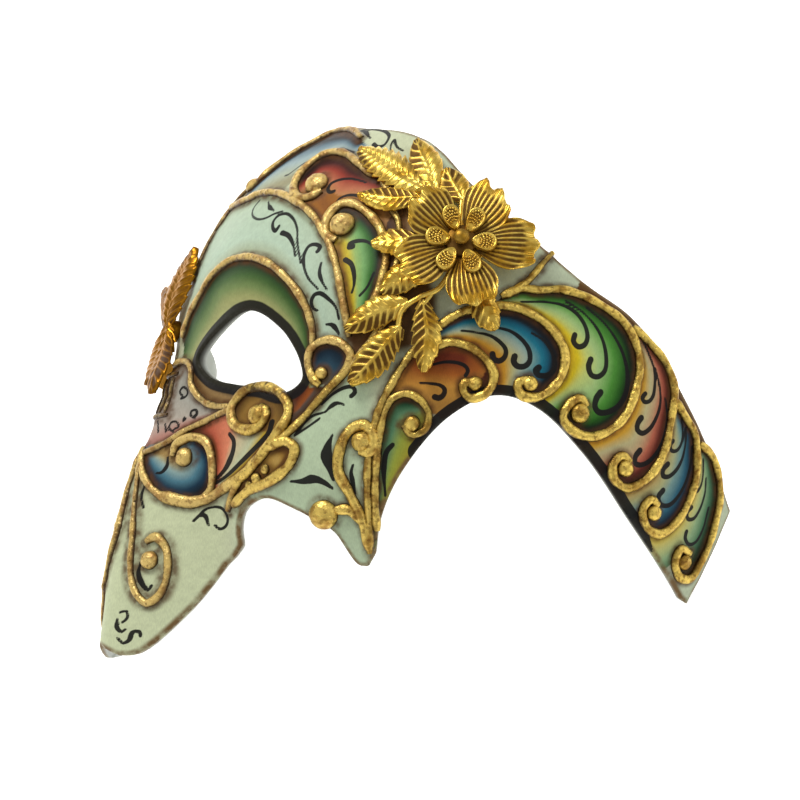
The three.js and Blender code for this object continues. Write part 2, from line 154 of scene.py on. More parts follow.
ARM_SCROLLS = [
    pairs(90, 8, 93.5, 9.5, 99, 8.5, 103, 6, 106, 2, 106, -1, 104, -4, 100, -5.5, 98, -4, 98, -1.5, 100.5, -1),
    pairs(90.5, 13.5, 94.5, 16.5, 99, 18.5, 109.5, 20, 116, 18.5, 123, 14, 126.5, 8, 125.5, 1.5, 121.5, -3,
          118, -4.5, 114, -4, 113, -1, 116.5, 0.5),
    pairs(108, 22.5, 113.5, 25, 119.5, 25, 126.5, 25.5, 133.5, 24, 139.5, 21.5, 144.5, 18.5, 148, 14, 150, 7,
          149, 0.5, 146.5, -6.5, 142.5, -11, 136, -14, 130, -13, 126.5, -9.5, 128, -6, 131.5, -4, 133.5, -6),
    pairs(148, 17, 154, 12.5, 158.5, 8, 161.5, 1, 161, -6.5, 159.5, -16, 156.5, -22, 152.5, -25.5, 148, -27,
          143.5, -24.5, 143, -21, 145.5, -18.5, 148.5, -20),
    pairs(161.5, -1.5, 166, -6.5, 169.5, -10.5, 171, -16.5, 171.5, -22.5, 170, -29.5, 167, -35, 162, -38.5,
          157, -37, 154.5, -32.5, 157, -29.5, 159.5, -31),
    pairs(171.5, -13, 176.5, -16, 179.5, -20.5, 181.5, -26.5, 181.5, -33, 181, -39.5, 179, -45.5, 177, -49.5,
          172.5, -49.5, 169.5, -45.5, 170.5, -42, 174.5, -43),
]
BROW_ROPE = pairs(2, 17, 6, 23, 12.6, 28.5, 16.5, 33, 22.6, 36, 30, 36.2, 38.2, 34, 45, 30, 50.2, 25, 53.7, 19.2,
                  55.5, 13, 55.6, 9)
UPPER_ROPE = pairs(-3, 56, 13, 56.5, 20.2, 57, 31.4, 55.4, 40.8, 51.8, 48.4, 47.5, 54.8, 41.4, 59.4, 34.5, 62.1, 28,
                   64.1, 20.7, 66.4, 11)
CROWN_ROPE = pairs(5, 63.5, 10, 72, 18, 77, 30, 77.3, 42, 75.5, 51.5, 72)
RED_ROPE = pairs(66, 58, 60, 61.5, 51, 66, 43, 67.5, 37.5, 66, 35, 62, 36, 57.5, 40, 53.5, 45.5, 52.7, 49, 54.5)
OVAL_ROPE = pairs(72, 18.5, 74, 25, 75, 34, 71.5, 42.5, 65, 48, 60.5, 49.7, 57, 49, 54.7, 45, 56, 40.5, 59.5, 38.6)
OCHRE_ROPES = [pairs(77.5, 27, 78.5, 36, 77, 44, 73, 49), pairs(69, 57, 74, 50.5, 77, 47)]
CREST_ROPE = pairs(0.5, 9, 5, 9.5, 9.5, 8.5, 11.5, 6, 12, 2.5, 14.5, -1, 18, -3.5, 22, -5, 28.5, -5.8)
CREST_BASE = pairs(29, -6.5, 20, -8.7, 13, -11.3, 9, -14, 4.5, -16, 0, -17)
BLUE_ROPE = pairs(0.5, -15, 1.5, -18.5, 5, -24.5, 10, -29.5, 14, -31.5, 18.5, -32, 22, -28, 22.5, -21, 20.5, -15.5,
                  15.5, -13.3, 11.5, -15, 11, -18.5)
VOLUTE_ROPE = pairs(10, -29.5, 18.5, -31.5, 26, -28.5, 38.5, -23.5, 46.5, -15.5, 49.5, -10, 49, -6.5, 45, -3,
                    38, -1, 32, -2, 29, -6, 30.5, -10.5, 36, -13, 41, -12, 42.3, -9, 40, -6.5)
DIAGONAL_ROPE = pairs(76, 15, 72.5, 10, 67.5, 3.5, 61, -3, 50, -15, 40, -21.5, 30.5, -29.5, 27.5, -34.5)
TEAR_ROPE = pairs(44, -18.5, 49.5, -17, 52.5, -19, 51, -23.5, 44.5, -27.5, 36.5, -29.5, 30, -33)
SMALL_ROPE = pairs(58.5, -2, 56, 0.7, 54.4, 4.4, 55, 8, 57.9, 10.1, 61.7, 10.4, 65, 8.8, 67, 5.9, 65.8, 2.4,
                   63.2, -0.6)
RIDGE_ROPE = pairs(90.5, 13.5, 84.5, 7.5, 79.5, 0, 75, -9, 73.5, -14, 72, -22.5, 71.5, -30, 71.5, -38.5, 71, -47)
GREEN_ROPE = pairs(73.5, -41, 73.5, -33, 74, -25, 75.5, -14, 78, -6.5, 82, -4.5, 86, -6, 88.5, -10, 87.5, -14,
                   84, -15.5, 81.5, -13)
CHEEK_ROPE = pairs(71, -46, 69.5, -38, 66.5, -31, 64, -25.5, 64.5, -19.5, 67, -14.5, 71, -13, 73.5, -16, 72.5, -20,
                   69.5, -20)
CHEEK_STEM = pairs(62, -35.5, 66, -35.5, 69.5, -39)
NEAR_NOSE_ROPE = pairs(0.8, -19, 2.6, -24.8, 4.2, -32.8, 5.6, -41.3, 6.2, -47.5, 7.2, -53.1, 8.9, -57.5,
                       11.1, -59.8, 13, -58.2, 14.2, -54.4, 14.3, -48.9, 13.2, -43.9, 10.8, -41.3, 9, -42.6)
NOSE_RIDGE_ROPE = pairs(-0.6, -17, -0.8, -24, -0.2, -31, 0.4, -38, -0.6, -46, -2.4, -53, -4.4, -60, -5, -66)
PILLARS = [[(-0.6, 5), (-0.8, -5)], [(1.6, 5), (1.5, -5)], [(4, 5), (4, -5.5)], [(-3, -6), (5.5, -6)],
           [(-3, 6), (5.5, 6)]]
TEMPLE_ROPE = pairs(111, 24, 115.5, 27, 121, 33, 124, 36)
RIDGE_LINE = pairs(-2, 34, -3, 46, -2, 60, 3, 64)
FAR_ROPES = [
    pairs(0, -16.5, -6, -23, -14, -30, -21, -26, -22, -19),
    pairs(-4, -30, -7, -46, -8.5, -60, -12, -63.5, -14.5, -57),
]

# Ropes of stucco: lines, radius at the start, radius at the end
ROPES = [(line, start, end) for lines, start, end in (
    (ARM_SCROLLS, 1.25, 1.4), ((RED_ROPE, OVAL_ROPE, BLUE_ROPE), 1.3, 1.5),
    ((BROW_ROPE, UPPER_ROPE, CROWN_ROPE), 1.3, 1.2), ((SMALL_ROPE,), 1.4, 1.3), ((GREEN_ROPE,), 1.2, 1.1),
    ((RIDGE_ROPE,), 1.2, 1.2), ((VOLUTE_ROPE,), 1.6, 1.6), ((DIAGONAL_ROPE,), 1.2, 1.2), ((TEAR_ROPE,), 1.6, 1.5),
    ((CHEEK_ROPE,), 1.45, 1.7), ((CHEEK_STEM,), 1.6, 1.3), ((CREST_ROPE,), 1.1, 1.1), ((CREST_BASE,), 1.05, 1.05),
    ((NEAR_NOSE_ROPE,), 0.9, 1.4), ((TEMPLE_ROPE,), 1.2, 0.9), ((RIDGE_LINE,), 1.0, 0.9), (OCHRE_ROPES, 1.0, 1.0),
    ((NOSE_RIDGE_ROPE,), 1.3, 1.5), (PILLARS, 0.8, 0.8), (FAR_ROPES, 1.1, 1.0)) for line in lines]
# Knobs of stucco: place and radius
KNOBS = [((39, -9), 2.9), ((14.2, -19), 2.8), ((45.8, 56.8), 3.5), ((60.2, 43.2), 3.7), ((58.7, 1.4), 1.9),
         ((84, -12.5), 2.3), ((70.3, -17.4), 2.9), ((58.9, -36.6), 4.1), ((10.4, -47.8), 2.7), ((4, 62), 2.7),
         ((101, -1.5), 2.1), ((116.5, -0.8), 2.2), ((131.5, -8), 2.8), ((147, -21.8), 2.5), ((158.5, -33), 2.4),
         ((173, -45.5), 2.3), ((0.2, -37.5), 2.0), ((-2.6, -54), 2.0), ((-5, -63), 2.2), ((37, -28.2), 1.4),
         ((40.2, -26.6), 1.7), ((43.4, -24.2), 1.5)]

# Painted strokes: width at start, middle and end in mm, then the points
STROKES = [
    (0.35, 0.5, 0.3, 21.4, 54.9, 20, 53.5, 21.2, 51, 25.8, 48.6, 29.9, 48.4, 33.4, 49.3, 36.3, 49.6),
    (0.9, 0.6, 0.25, 37.6, 44.8, 37.2, 43.5, 35.4, 44.6, 34.3, 46.7, 35.2, 48.3, 38.3, 48.7, 42.1, 46.7, 44.8, 43.6,
     46.9, 38.9, 50.1, 32.6),
    (0.2, 1, 0.2, 26.9, 53.8, 28.8, 52, 32.2, 50.4),
    (1.1, 0.8, 0.15, 39.8, 42.7, 42.6, 41.6, 45.6, 38.5, 47.5, 35),
    (0.9, 0.7, 0.25, 54.2, 35.9, 54.8, 37, 53, 38.1, 51, 37.8, 50.3, 35.6, 51.2, 32, 53.3, 28.1, 56.3, 25),
    (0.3, 0.9, 0.2, 56.2, 32.5, 56.3, 29.5, 57.5, 26.8, 59, 24.7),
    (0.5, 0.9, 0.3, 56.6, 18.9, 55.5, 19.4, 54.7, 21.3, 55.4, 23.3, 57, 23.7, 59.5, 22.1, 62, 19.4, 63, 16.3),
    (0.3, 1.1, 0.4, 59.3, 14.9, 60.9, 14.8, 62.3, 13.5, 63.3, 11.9),
    (0.9, 0.7, 0.4, 58.9, 69.7, 61.9, 68.5, 64.2, 69, 64.1, 71.8, 60.5, 74.1, 54.5, 75.5, 45.6, 76.1),
    (0.3, 0.9, 0.3, 45, 75.6, 49.1, 74.8, 55.3, 72.1),
    (0.3, 0.7, 0.4, 68.6, 65.6, 67, 68.9, 67.1, 70.6, 69.8, 68.1, 73.1, 66.5),
    (0.4, 0.5, 0.3, 25.2, 62.5, 27.3, 62.5, 28.1, 63.3, 31.8, 66.3, 38.5, 68.4, 45.2, 68.9, 53.3, 66.9),
    (0.9, 0.6, 0.4, 53.2, 54.3, 51.9, 54.1, 50.7, 55.1, 50.7, 56.9, 53, 57.9, 57.1, 58, 61.6, 57, 63.8, 56.3),
    (0.5, 0.7, 0.4, 56, 50.1, 56.1, 51.5, 58.2, 52.5, 62.1, 52.3, 65.7, 50.6, 68.8, 48.2),
    (1, 0.8, 0.5, 64.7, 36.7, 63.6, 36.5, 63.6, 37.6, 65.7, 38.4, 68.5, 38.2, 70.7, 36.8),
    (1.1, 0.9, 0.2, 63.2, 33, 65, 31.8, 66.2, 29.1, 66.6, 25.4, 66.2, 23.4),
    (0.2, 0.4, 0.4, 68.4, 22.5, 70.3, 24.8, 72, 29),
    (1.2, 0.7, 0.3, 90.1, -5.3, 91.2, -5.6, 92.5, -4.7, 92.8, -3.2, 91.5, -2.1, 88.9, -1.7, 86, -1.6),
    (0.8, 0.7, 0.4, 98.4, 0.6, 99.1, 2, 98.3, 3.2, 96.3, 4, 92.8, 4.2, 88.8, 3.3),
    (1.3, 0.8, 0.25, 105.8, 6.7, 106.2, 5.4, 107.6, 4.9, 109.1, 5.8, 109.6, 7.9, 108.2, 9.8, 105.2, 11.7,
     101.3, 12.5, 97, 12.9),
    (1.3, 0.9, 0.3, 112.1, 6.4, 111.8, 5.1, 112.7, 3.8, 114.8, 3.7, 116.3, 5, 116.3, 7.9, 114.8, 10.4, 111.4, 12.9,
     108.4, 13.8, 102.5, 13.9),
    (1.3, 0.9, 0.3, 119.1, 3.7, 118.1, 2.8, 118.8, 1.7, 121.3, 1.6, 123.2, 2.8, 123.8, 4.9, 123.1, 7.7, 120.6, 11,
     116.9, 13.1),
    (1.2, 0.8, 0.2, 129.8, 13.3, 129.3, 11.6, 130.7, 10.1, 132.7, 10.7, 133.7, 12.8, 133.1, 16, 130.9, 19,
     127.1, 21.1, 121.4, 21.9, 113.9, 21.5),
    (1.3, 0.8, 0.25, 134.7, 6.9, 134, 5, 134.8, 2.7, 136.9, 2.3, 139.1, 4.2, 139.5, 8.3, 138.6, 12.3, 136.1, 16.5,
     132.3, 20, 127.2, 22.6),
    (1.4, 0.9, 0.3, 137.9, -1.9, 136.7, -3.5, 136.2, -5.8, 137.6, -7.3, 140.9, -6.9, 144.2, -4.6, 146, -1,
     146.3, 3.6, 145.3, 8.2, 142.7, 13.2, 138.8, 17.6, 133.7, 21.3),
    (1, 0.6, 0.2, 152.2, -1.1, 151.2, -2.3, 152, -3.4, 153.7, -3, 154.9, -1.2, 155.3, 2.1, 154.9, 6.1, 153.2, 10.1,
     151.2, 13.4),
    (1.3, 0.7, 0.25, 151.3, -7.8, 150.3, -9.3, 150.2, -11.1, 151.9, -12, 154.2, -10.7, 156.1, -7.7, 157.3, -3.5,
     157.1, 0.5, 155.3, 6.1),
    (1.3, 0.7, 0.25, 151.6, -16.7, 150.2, -18.5, 150.3, -20.2, 152.1, -20.6, 155.1, -19.3, 157.6, -16.2,
     159.3, -11.5, 159.7, -6.2, 158.9, -1.7),
    (1, 0.6, 0.2, 162.4, -13.2, 161.4, -14.5, 162.3, -15.9, 164.1, -15.7, 165.4, -13.8, 165.6, -10.3, 164.7, -6.9),
    (1.2, 0.7, 0.2, 161.5, -19.6, 160.1, -21.2, 160.3, -22.9, 162.2, -23, 164.5, -21.1, 166.3, -17.8, 166.9, -13.7,
     166.5, -9.1),
    (1.2, 0.7, 0.25, 161, -26.8, 159.5, -28.7, 160.6, -30.6, 163.6, -30.7, 166.5, -28.1, 168.4, -24, 169.4, -18.7,
     169.2, -14),
    (0.8, 0.5, 0.2, 171.9, -23.9, 171.6, -25.7, 173.1, -26.2, 174.3, -24.3, 174.5, -21.1, 173.8, -17.1),
    (1, 0.6, 0.2, 172.1, -30.6, 170.7, -32.1, 171.4, -33.8, 173.6, -33.6, 175.3, -30.9, 176.1, -26.8, 175.9, -22.1),
    (0.9, 0.6, 0.2, 171.8, -37.2, 171.7, -39, 173.5, -40.6, 176.1, -39.8, 177.8, -35.9, 178.4, -30),
    (0.3, 0.35, 0.3, 8.3, -1.6, 10.4, -0.9, 10.4, 0.7, 8.3, 1.8, 7.2, 0.5, 8.8, -0.8),
    (0.3, 0.5, 0.3, 15, -7.8, 13.3, -6.8, 13.3, -5.5, 14.8, -5.4, 15.4, -6.7, 14.5, -6.9),
    (0.3, 0.4, 0.3, 9.2, -11.2, 7.2, -9.9, 7.3, -8.2, 9.3, -8.4, 10.4, -9.9, 9.2, -10.2),
    (0.4, 0.5, 0.2, 11.2, -8.3, 11.2, -7.2, 12, -7.8),
    (0.3, 0.45, 0.2, 1.9, -7.4, 3.7, -10.7),
    (0.3, 0.4, 0.2, 5.3, -8.6, 6.6, -11),
    (0.3, 0.9, 0.3, 9.5, -18.5, 9.8, -21, 8.7, -22.9, 7.4, -22.8),
    (0.9, 1.5, 0.4, 28.8, -13.4, 30.6, -15.3, 30.6, -18.2, 28.2, -21.9, 22.5, -26.2),
    (1.3, 1.1, 0.5, 44.4, -11.3, 43.9, -14, 40.9, -17, 35.8, -20.4, 30.1, -23.7, 21.6, -27.4),
    (0.9, 0.7, 0.3, 67.2, -5, 68.3, -4, 67.7, -2.6, 65.5, -2.6, 62.2, -4.3, 59, -7.2),
    (0.3, 1, 0.2, 65.3, -7.3, 63.4, -6.8, 61.3, -8, 60.3, -9.1),
    (0.2, 0.35, 0.2, 59.7, -9.3, 56.5, -10.3, 52.5, -14.5),
    (0.2, 0.35, 0.2, 52, -15.5, 55.1, -13.5, 58.7, -10.9),
    (0.2, 2.5, 0.8, 62.4, -15.5, 61.3, -18.4, 60.9, -21.5, 61.9, -24.7, 62.5, -27.4),
    (0.2, 1.8, 0.6, 50.8, -27.8, 54.1, -27.9, 57.3, -27.3, 59.8, -28.2, 62, -29.8),
    (0.3, 1, 0.3, 67.8, -23.6, 67.2, -25.7, 67.6, -28.3, 68.1, -31.4),
    (0.9, 1.1, 0.2, 78.6, -18.2, 77, -20, 76.2, -23.6, 76.1, -27.7, 76.3, -31.8),
    (0.2, 0.8, 0.4, 18.3, -37, 19.8, -35.2, 20.7, -35.5, 21.6, -38.2),
    (0.3, 0.7, 0.5, 19.6, -35.2, 20.6, -33.8, 22.9, -33.1, 25.2, -33.7, 26.8, -35.7, 26.2, -38.3, 24.2, -39.3,
     23.1, -38.2),
    (0.2, 0.4, 0.2, 5.2, -26, 5.1, -29.3, 6.4, -32.7),
    (0.3, 0.9, 0.3, 8.6, -48.2, 8.3, -50.9, 9.4, -54.2, 10.8, -56.2, 11.4, -54.8),
    (0.2, 0.5, 0.3, 5.3, -62.2, 6.8, -61.8, 7.2, -63.9, 6.2, -65),
    (0.3, 0.9, 0.3, 5, -63.9, 5, -66, 6.3, -67.7, 7.1, -66.9),
    (0.3, 0.8, 0.5, 5.5, -69.3, 7, -70.8, 8.1, -69.9, 8.6, -67.7, 9.9, -67.5, 10.3, -68.9),
]
BLACK_EDGE = [(162, -44)] + EAR_ARCH[1:6] + [(85.5, -20)]
BLACK_EDGE_WIDTH = 5.4
INK_SPREAD = 1.3  # how much wider the paint lies than the brush was led
THINNEST_INK = 0.62
FAR_AWAY = 1e9  # distance of what is out of reach


def between(t, start, end, p, q):
    return (end - t) / (end - start) * p + (t - start) / (end - start) * q


def smooth_line(points, step):
    """Points of a smooth line through chart points, about step apart."""
    p = np.array(points, float)
    p = np.vstack([2 * p[0] - p[1], p, 2 * p[-1] - p[-2]])
    out = []
    for k in range(1, len(p) - 2):
        row, knots = list(p[k - 1:k + 3]), [0.0]
        for start, end in zip(row, row[1:]):
            knots.append(knots[-1] + max(np.linalg.norm(end - start), 1e-6) ** 0.5)
        count = max(1, int(round(np.linalg.norm(row[2] - row[1]) / step)))
        t = np.linspace(knots[1], knots[2], count, endpoint=False)[:, None]
        for level in (1, 2):
            row = [between(t, knots[i], knots[i + level], row[i], row[i + 1]) for i in range(4 - level)]
        out.append(between(t, knots[1], knots[2], *row))
    out.append(p[-2:-1])
    return np.vstack(out)


def outline_points():
    return np.vstack([smooth_line(edge, 1.0) for edge in EDGES])


def eye_points():
    line = smooth_line(EYE_HOLE[-2:] + EYE_HOLE + EYE_HOLE[:2], 0.7)
    gap = np.linalg.norm(line - EYE_HOLE[0], axis=1)
    return line[np.argmin(gap):len(line) - 1 - np.argmin(gap[::-1])]


def inside(points, ring):
    """Whether each point lies inside a closed ring."""
    x, y = points.T
    hit = np.zeros(len(points), bool)
    for (x1, y1), (x2, y2) in zip(ring, np.roll(ring, -1, axis=0)):
        if y1 != y2:
            hit ^= ((y1 > y) != (y2 > y)) & (x < (x2 - x1) * (y - y1) / (y2 - y1) + x1)
    return hit


def distance(points, line, closed=False, width=None, reach=14):
    """Distance from each point within reach to a line of short segments, less half its width if it has one."""
    best = np.full(len(points), FAR_AWAY)
    starts, ends = (line, np.roll(line, -1, axis=0)) if closed else (line[:-1], line[1:])
    low = np.minimum(starts.min(0), ends.min(0)) - reach
    high = np.maximum(starts.max(0), ends.max(0)) + reach
    near = np.where(np.all((points > low) & (points < high), axis=1))[0]
    q = points[near]
    got = np.full(len(q), FAR_AWAY)
    for i, (s, e) in enumerate(zip(starts, ends)):
        d = e - s
        t = np.clip(((q - s) @ d) / max(d @ d, 1e-9), 0, 1)
        gap = np.hypot(q[:, 0] - s[0] - t * d[0], q[:, 1] - s[1] - t * d[1])
        if width is not None:
            gap = gap - (width[i] * (1 - t) + width[i + 1] * t) / 2
        np.minimum(got, gap, out=got)
    best[near] = got
    return best


def signed(points, ring):
    """Distance to a closed ring, negative inside."""
    gap = distance(points, ring, closed=True)
    return np.where(inside(points, ring), -gap, gap)


# ---------------------------------------------------------------- paint on the chart
def srgb(r, g, b):
    return tuple(c / 12.92 if c <= 0.04045 else ((c + 0.055) / 1.055) ** 2.4 for c in (r, g, b))


def ramp(*numbers):
    """Colour stops in percent: place between the near line and the far one, red, green and blue."""
    rows = [[n / 100 for n in numbers[k:k + 4]] for k in range(0, len(numbers), 4)]
    return [row[0] for row in rows], np.array([srgb(*row[1:]) for row in rows])


IVORY = (0.79, 0.81, 0.67)
ROPE_FOOT = 0.9  # half the width that a rope covers of its cell
# Cells of colour: outline, near line, far line, and colours from the near line to the far one
ARM_RAMPS = [
    ramp(0, 12, 3, 2, 14, 34, 9, 5, 30, 54, 25, 11, 55, 68, 43, 18, 80, 75, 60, 32, 100, 62, 44, 16),
    ramp(0, 2, 3, 5, 14, 5, 8, 11, 20, 5, 33, 42, 30, 10, 46, 54, 40, 40, 58, 58, 52, 64, 70, 62, 66, 74, 70, 46,
         80, 80, 58, 16, 100, 56, 26, 5),
    ramp(0, 2, 5, 2, 10, 5, 14, 4, 18, 14, 36, 8, 32, 30, 56, 20, 42, 48, 68, 36, 56, 66, 78, 50, 70, 78, 82, 46,
         82, 88, 78, 12, 100, 84, 64, 2),
    ramp(0, 16, 5, 3, 14, 40, 15, 10, 28, 74, 40, 30, 44, 76, 62, 46, 64, 78, 74, 54, 84, 84, 64, 18, 100, 76, 48, 6),
    ramp(0, 2, 5, 8, 12, 5, 16, 24, 28, 16, 38, 46, 50, 46, 60, 58, 70, 70, 70, 50, 100, 74, 56, 20),
    ramp(0, 2, 7, 3, 14, 10, 22, 12, 30, 28, 46, 32, 52, 56, 68, 50, 74, 76, 76, 48, 100, 84, 70, 12),
]
ARM_CLOSERS = [
    pairs(95, -9, 84, -4, 84, 6), pairs(108, -8, 98, -5, 88, 5), pairs(122, -12, 110, 0, 104, 15),
    pairs(138, -26, 128, -12, 130, 10), pairs(150, -38, 143, -25, 150, 0), pairs(165, -50, 155, -30, 160, 0),
]


def arm_cells():
    """The cell inside each scroll of the arm, the outermost first."""
    cells = []
    for i in reversed(range(len(ARM_SCROLLS))):
        line = ARM_SCROLLS[i]
        far = ARM_SCROLLS[i - 1][:-3] if i else [(84, -6), (84, 6), (88, 8)]
        cells.append((line[:-2] + ARM_CLOSERS[i], line[:-3], far, ARM_RAMPS[i]))
    return cells


FACE_CELLS = [
    # bronzed edge of the arm above the scrolls
    (pairs(139, 38, 131, 25.5, 134, 24.5, 140, 22, 148, 17.5, 154, 13, 160, 6, 163, -1.5, 168, -8, 173, -13.5,
           178, -17, 181, -22, 186, -28, 170, 0, 152, 22), pairs(131, 25.5, 148, 17.5, 163, -1.5, 181, -22),
     pairs(139, 38, 152, 22, 170, 0),
     ramp(0, 36, 24, 10, 50, 48, 36, 18, 100, 60, 54, 40)),
    # ochre between the green volute and the first arm scroll
    (pairs(90.5, 9, 84.5, 7.5, 79.5, 0, 78, -4, 84, -4.5, 88.5, -9, 92, -11, 100, -7, 98, -4, 98, -1.5, 101, -1,
           104, 2, 99, 8), [(88, 6), (97, 5)], [(88, -8), (98, -8)],
     ramp(0, 40, 15, 6, 30, 62, 34, 12, 60, 76, 54, 22, 100, 64, 46, 20)),
    # green and yellow crescent beside the ear arch
    (pairs(90, -12, 88.5, -9, 84.5, -5, 79, -5, 75, -12, 72, -22, 71, -47, 76, -40, 84, -24),
     pairs(85, -6, 78, -6, 75, -13, 73.5, -22, 72, -40), pairs(90, -12, 82, -25, 76, -38),
     ramp(0, 4, 10, 5, 12, 15, 32, 20, 30, 34, 50, 36, 60, 58, 62, 24, 100, 62, 56, 16)),
    # brow crescent over the eye
    (BROW_ROPE + pairs(57, 2, 54, -4, 28, -2, 12, 4, 5, 10), BROW_ROPE, pairs(17, 8, 28, 16, 36, 18, 45, 12, 50, 3),
     ramp(0, 7, 10, 5, 10, 14, 24, 12, 26, 26, 38, 18, 44, 45, 53, 31, 66, 65, 65, 42, 100, 66, 70, 50)),
    # brown corner under the eye and in front of it
    (pairs(56, -8, 49, -7, 38, -1.5, 29, -2, 29, -6, 22, -5, 12, 3, 11, 8, 14, 5, 19, 2, 28, -1, 38, -3, 47, -5,
           53, -2), pairs(29, -6, 18, -3.5, 12, 3), [(28, -1), (14, 6)],
     ramp(0, 44, 32, 16, 50, 58, 46, 28, 100, 30, 24, 16)),
    # mint band over the brow
    ([(0, 28), (8, 27)] + BROW_ROPE[3:] + [(60, 5)] + UPPER_ROPE[::-1], UPPER_ROPE, BROW_ROPE,
     ramp(0, 60, 64, 50, 15, 72, 79, 68, 70, 72, 80, 70, 100, 64, 66, 52)),
    # blue cell under the crown rope
    ([(0, 58)] + CROWN_ROPE + [(60, 66), (58, 62)] + RED_ROPE[2:6] + [(28, 56), (13, 57)], CROWN_ROPE,
     pairs(14, 58, 30, 60, 42, 66.5, 56, 63),
     ramp(0, 3, 5, 5, 20, 8, 11, 13, 34, 34, 45, 50, 55, 58, 66, 66, 80, 66, 70, 60, 100, 62, 60, 46)),
    # red and orange cell
    (RED_ROPE[:6] + pairs(36, 57, 40.8, 51.9, 48.4, 47.5, 54.8, 41.6, 56, 46, 60, 50, 66, 48, 74, 41, 84, 46,
           84, 54, 76, 60), pairs(70, 57, 60, 61.5, 51, 66, 40, 66, 36, 60), pairs(44, 50, 54, 44, 66, 48),
     ramp(0, 10, 3, 2, 13, 26, 8, 5, 26, 60, 22, 15, 42, 74, 44, 30, 58, 72, 52, 30, 78, 72, 48, 16, 100, 54, 28, 6)),
    # ochre ground between the upper rope and the oval
    (pairs(40, 52, 48, 48, 55, 41, 60, 34, 64, 21, 67, 12, 72, 18, 60, 33, 55, 40, 54, 45, 56.5, 49, 60.5, 50,
           52, 54, 44, 53), pairs(48, 48, 55, 41, 60, 34, 64, 21), pairs(50, 52, 56, 46, 57, 42),
     ramp(0, 42, 22, 6, 40, 66, 42, 12, 100, 56, 34, 12)),
    # yellow and green oval
    (OVAL_ROPE[:6] + pairs(57, 49.5, 54.5, 45, 56, 40, 60, 34, 63, 26, 66, 11), OVAL_ROPE[:5] + [(60, 49)],
     pairs(67, 12, 65, 21, 62, 30, 60, 36),
     ramp(0, 3, 5, 2, 14, 7, 14, 5, 30, 22, 44, 16, 48, 48, 68, 40, 66, 62, 74, 42, 82, 82, 74, 18, 100, 66, 48, 6)),
    # brown ground behind the leaves
    (pairs(73, 17, 77, 21, 84, 30, 86, 44, 80, 50, 74, 44, 75, 34, 74, 25), pairs(74, 20, 75, 34, 74, 44),
     [(84, 30), (86, 44)],
     ramp(0, 26, 15, 7, 40, 52, 38, 22, 100, 62, 54, 38)),
    # pinkish crest
    ([(-6, 10)] + CREST_ROPE + CREST_BASE + [(-8, -16)], CREST_ROPE, CREST_BASE,
     ramp(0, 44, 40, 34, 20, 64, 63, 58, 60, 70, 66, 60, 85, 70, 50, 44, 100, 50, 30, 24)),
    # salmon cell beside the big volute
    (CREST_BASE[2::-1] + pairs(30.5, -10.5, 36, -13, 42, -12) + VOLUTE_ROPE[4:0:-1] + BLUE_ROPE[6:9],
     [(13, -11.3)] + BLUE_ROPE[8:5:-1], pairs(46.5, -13, 38, -22, 26, -28),
     ramp(0, 36, 14, 8, 14, 74, 36, 25, 40, 86, 52, 38, 54, 80, 72, 56, 80, 75, 77, 62, 93, 74, 62, 18,
          100, 54, 38, 8)),
    # blue volute cell
    (BLUE_ROPE[:9] + [(15, -12.8)], BLUE_ROPE[1:4] + pairs(16, -31, 21.5, -27, 22, -20, 18, -14.5),
     [(6, -16), (13, -19)],
     ramp(0, 3, 7, 10, 20, 8, 20, 28, 42, 30, 48, 54, 66, 56, 66, 64, 85, 70, 66, 48, 100, 66, 54, 32)),
    # gilded middle of the big volute
    ([(30, -10)] + VOLUTE_ROPE[10:6:-1] + pairs(49, -7, 48, -12, 42, -14, 36, -13), VOLUTE_ROPE[6:11], [(38, -9)],
     ramp(0, 26, 17, 6, 50, 56, 42, 18, 100, 50, 36, 14)),
    # gilt ground of the teardrop
    ([(44, -18)] + TEAR_ROPE[1:6] + pairs(29, -34, 33, -28, 40, -22), pairs(44, -18, 51, -20, 44.5, -27.5, 33, -31),
     [(47, -22)],
     ramp(0, 40, 26, 9, 50, 62, 47, 20, 100, 72, 58, 30)),
    # orange wedge and dark stripe under the small volute
    (pairs(53, -1, 57, -2.5, 63.5, -1, 61, -3.5, 50, -15, 49.5, -8, 50, -3), [(62, -2), (50, -14)],
     [(53, -1), (50, -6)],
     ramp(0, 16, 13, 11, 35, 34, 28, 24, 50, 58, 30, 10, 100, 34, 14, 5)),
    # teal eye of the small volute
    ([(63.2, -0.6), (59, -2)] + SMALL_ROPE[1:9], SMALL_ROPE[3:6] + [(66, 8)], [(59, 1)],
     ramp(0, 5, 6, 6, 35, 7, 16, 22, 70, 16, 28, 34, 100, 42, 34, 18)),
]
# Outline of the brown ground behind the leaf spray
BROWN_GROUND = pairs(66, 11, 72, 18, 75, 30, 74, 40, 80, 50, 90, 54, 84, 36, 90, 22, 90, 14, 84, 8, 76, 6, 70, 4,
                     67, 4)


def ramp_gap(points, line):
    """How far points lie from the near or far line of a cell, past the foot of its rope."""
    if len(line) > 1:
        gap = distance(points, smooth_line(line, 1.5), reach=90)
    else:
        gap = np.hypot(*(points - line[0]).T)
    return np.maximum(np.minimum(gap, 60) - ROPE_FOOT, 0)


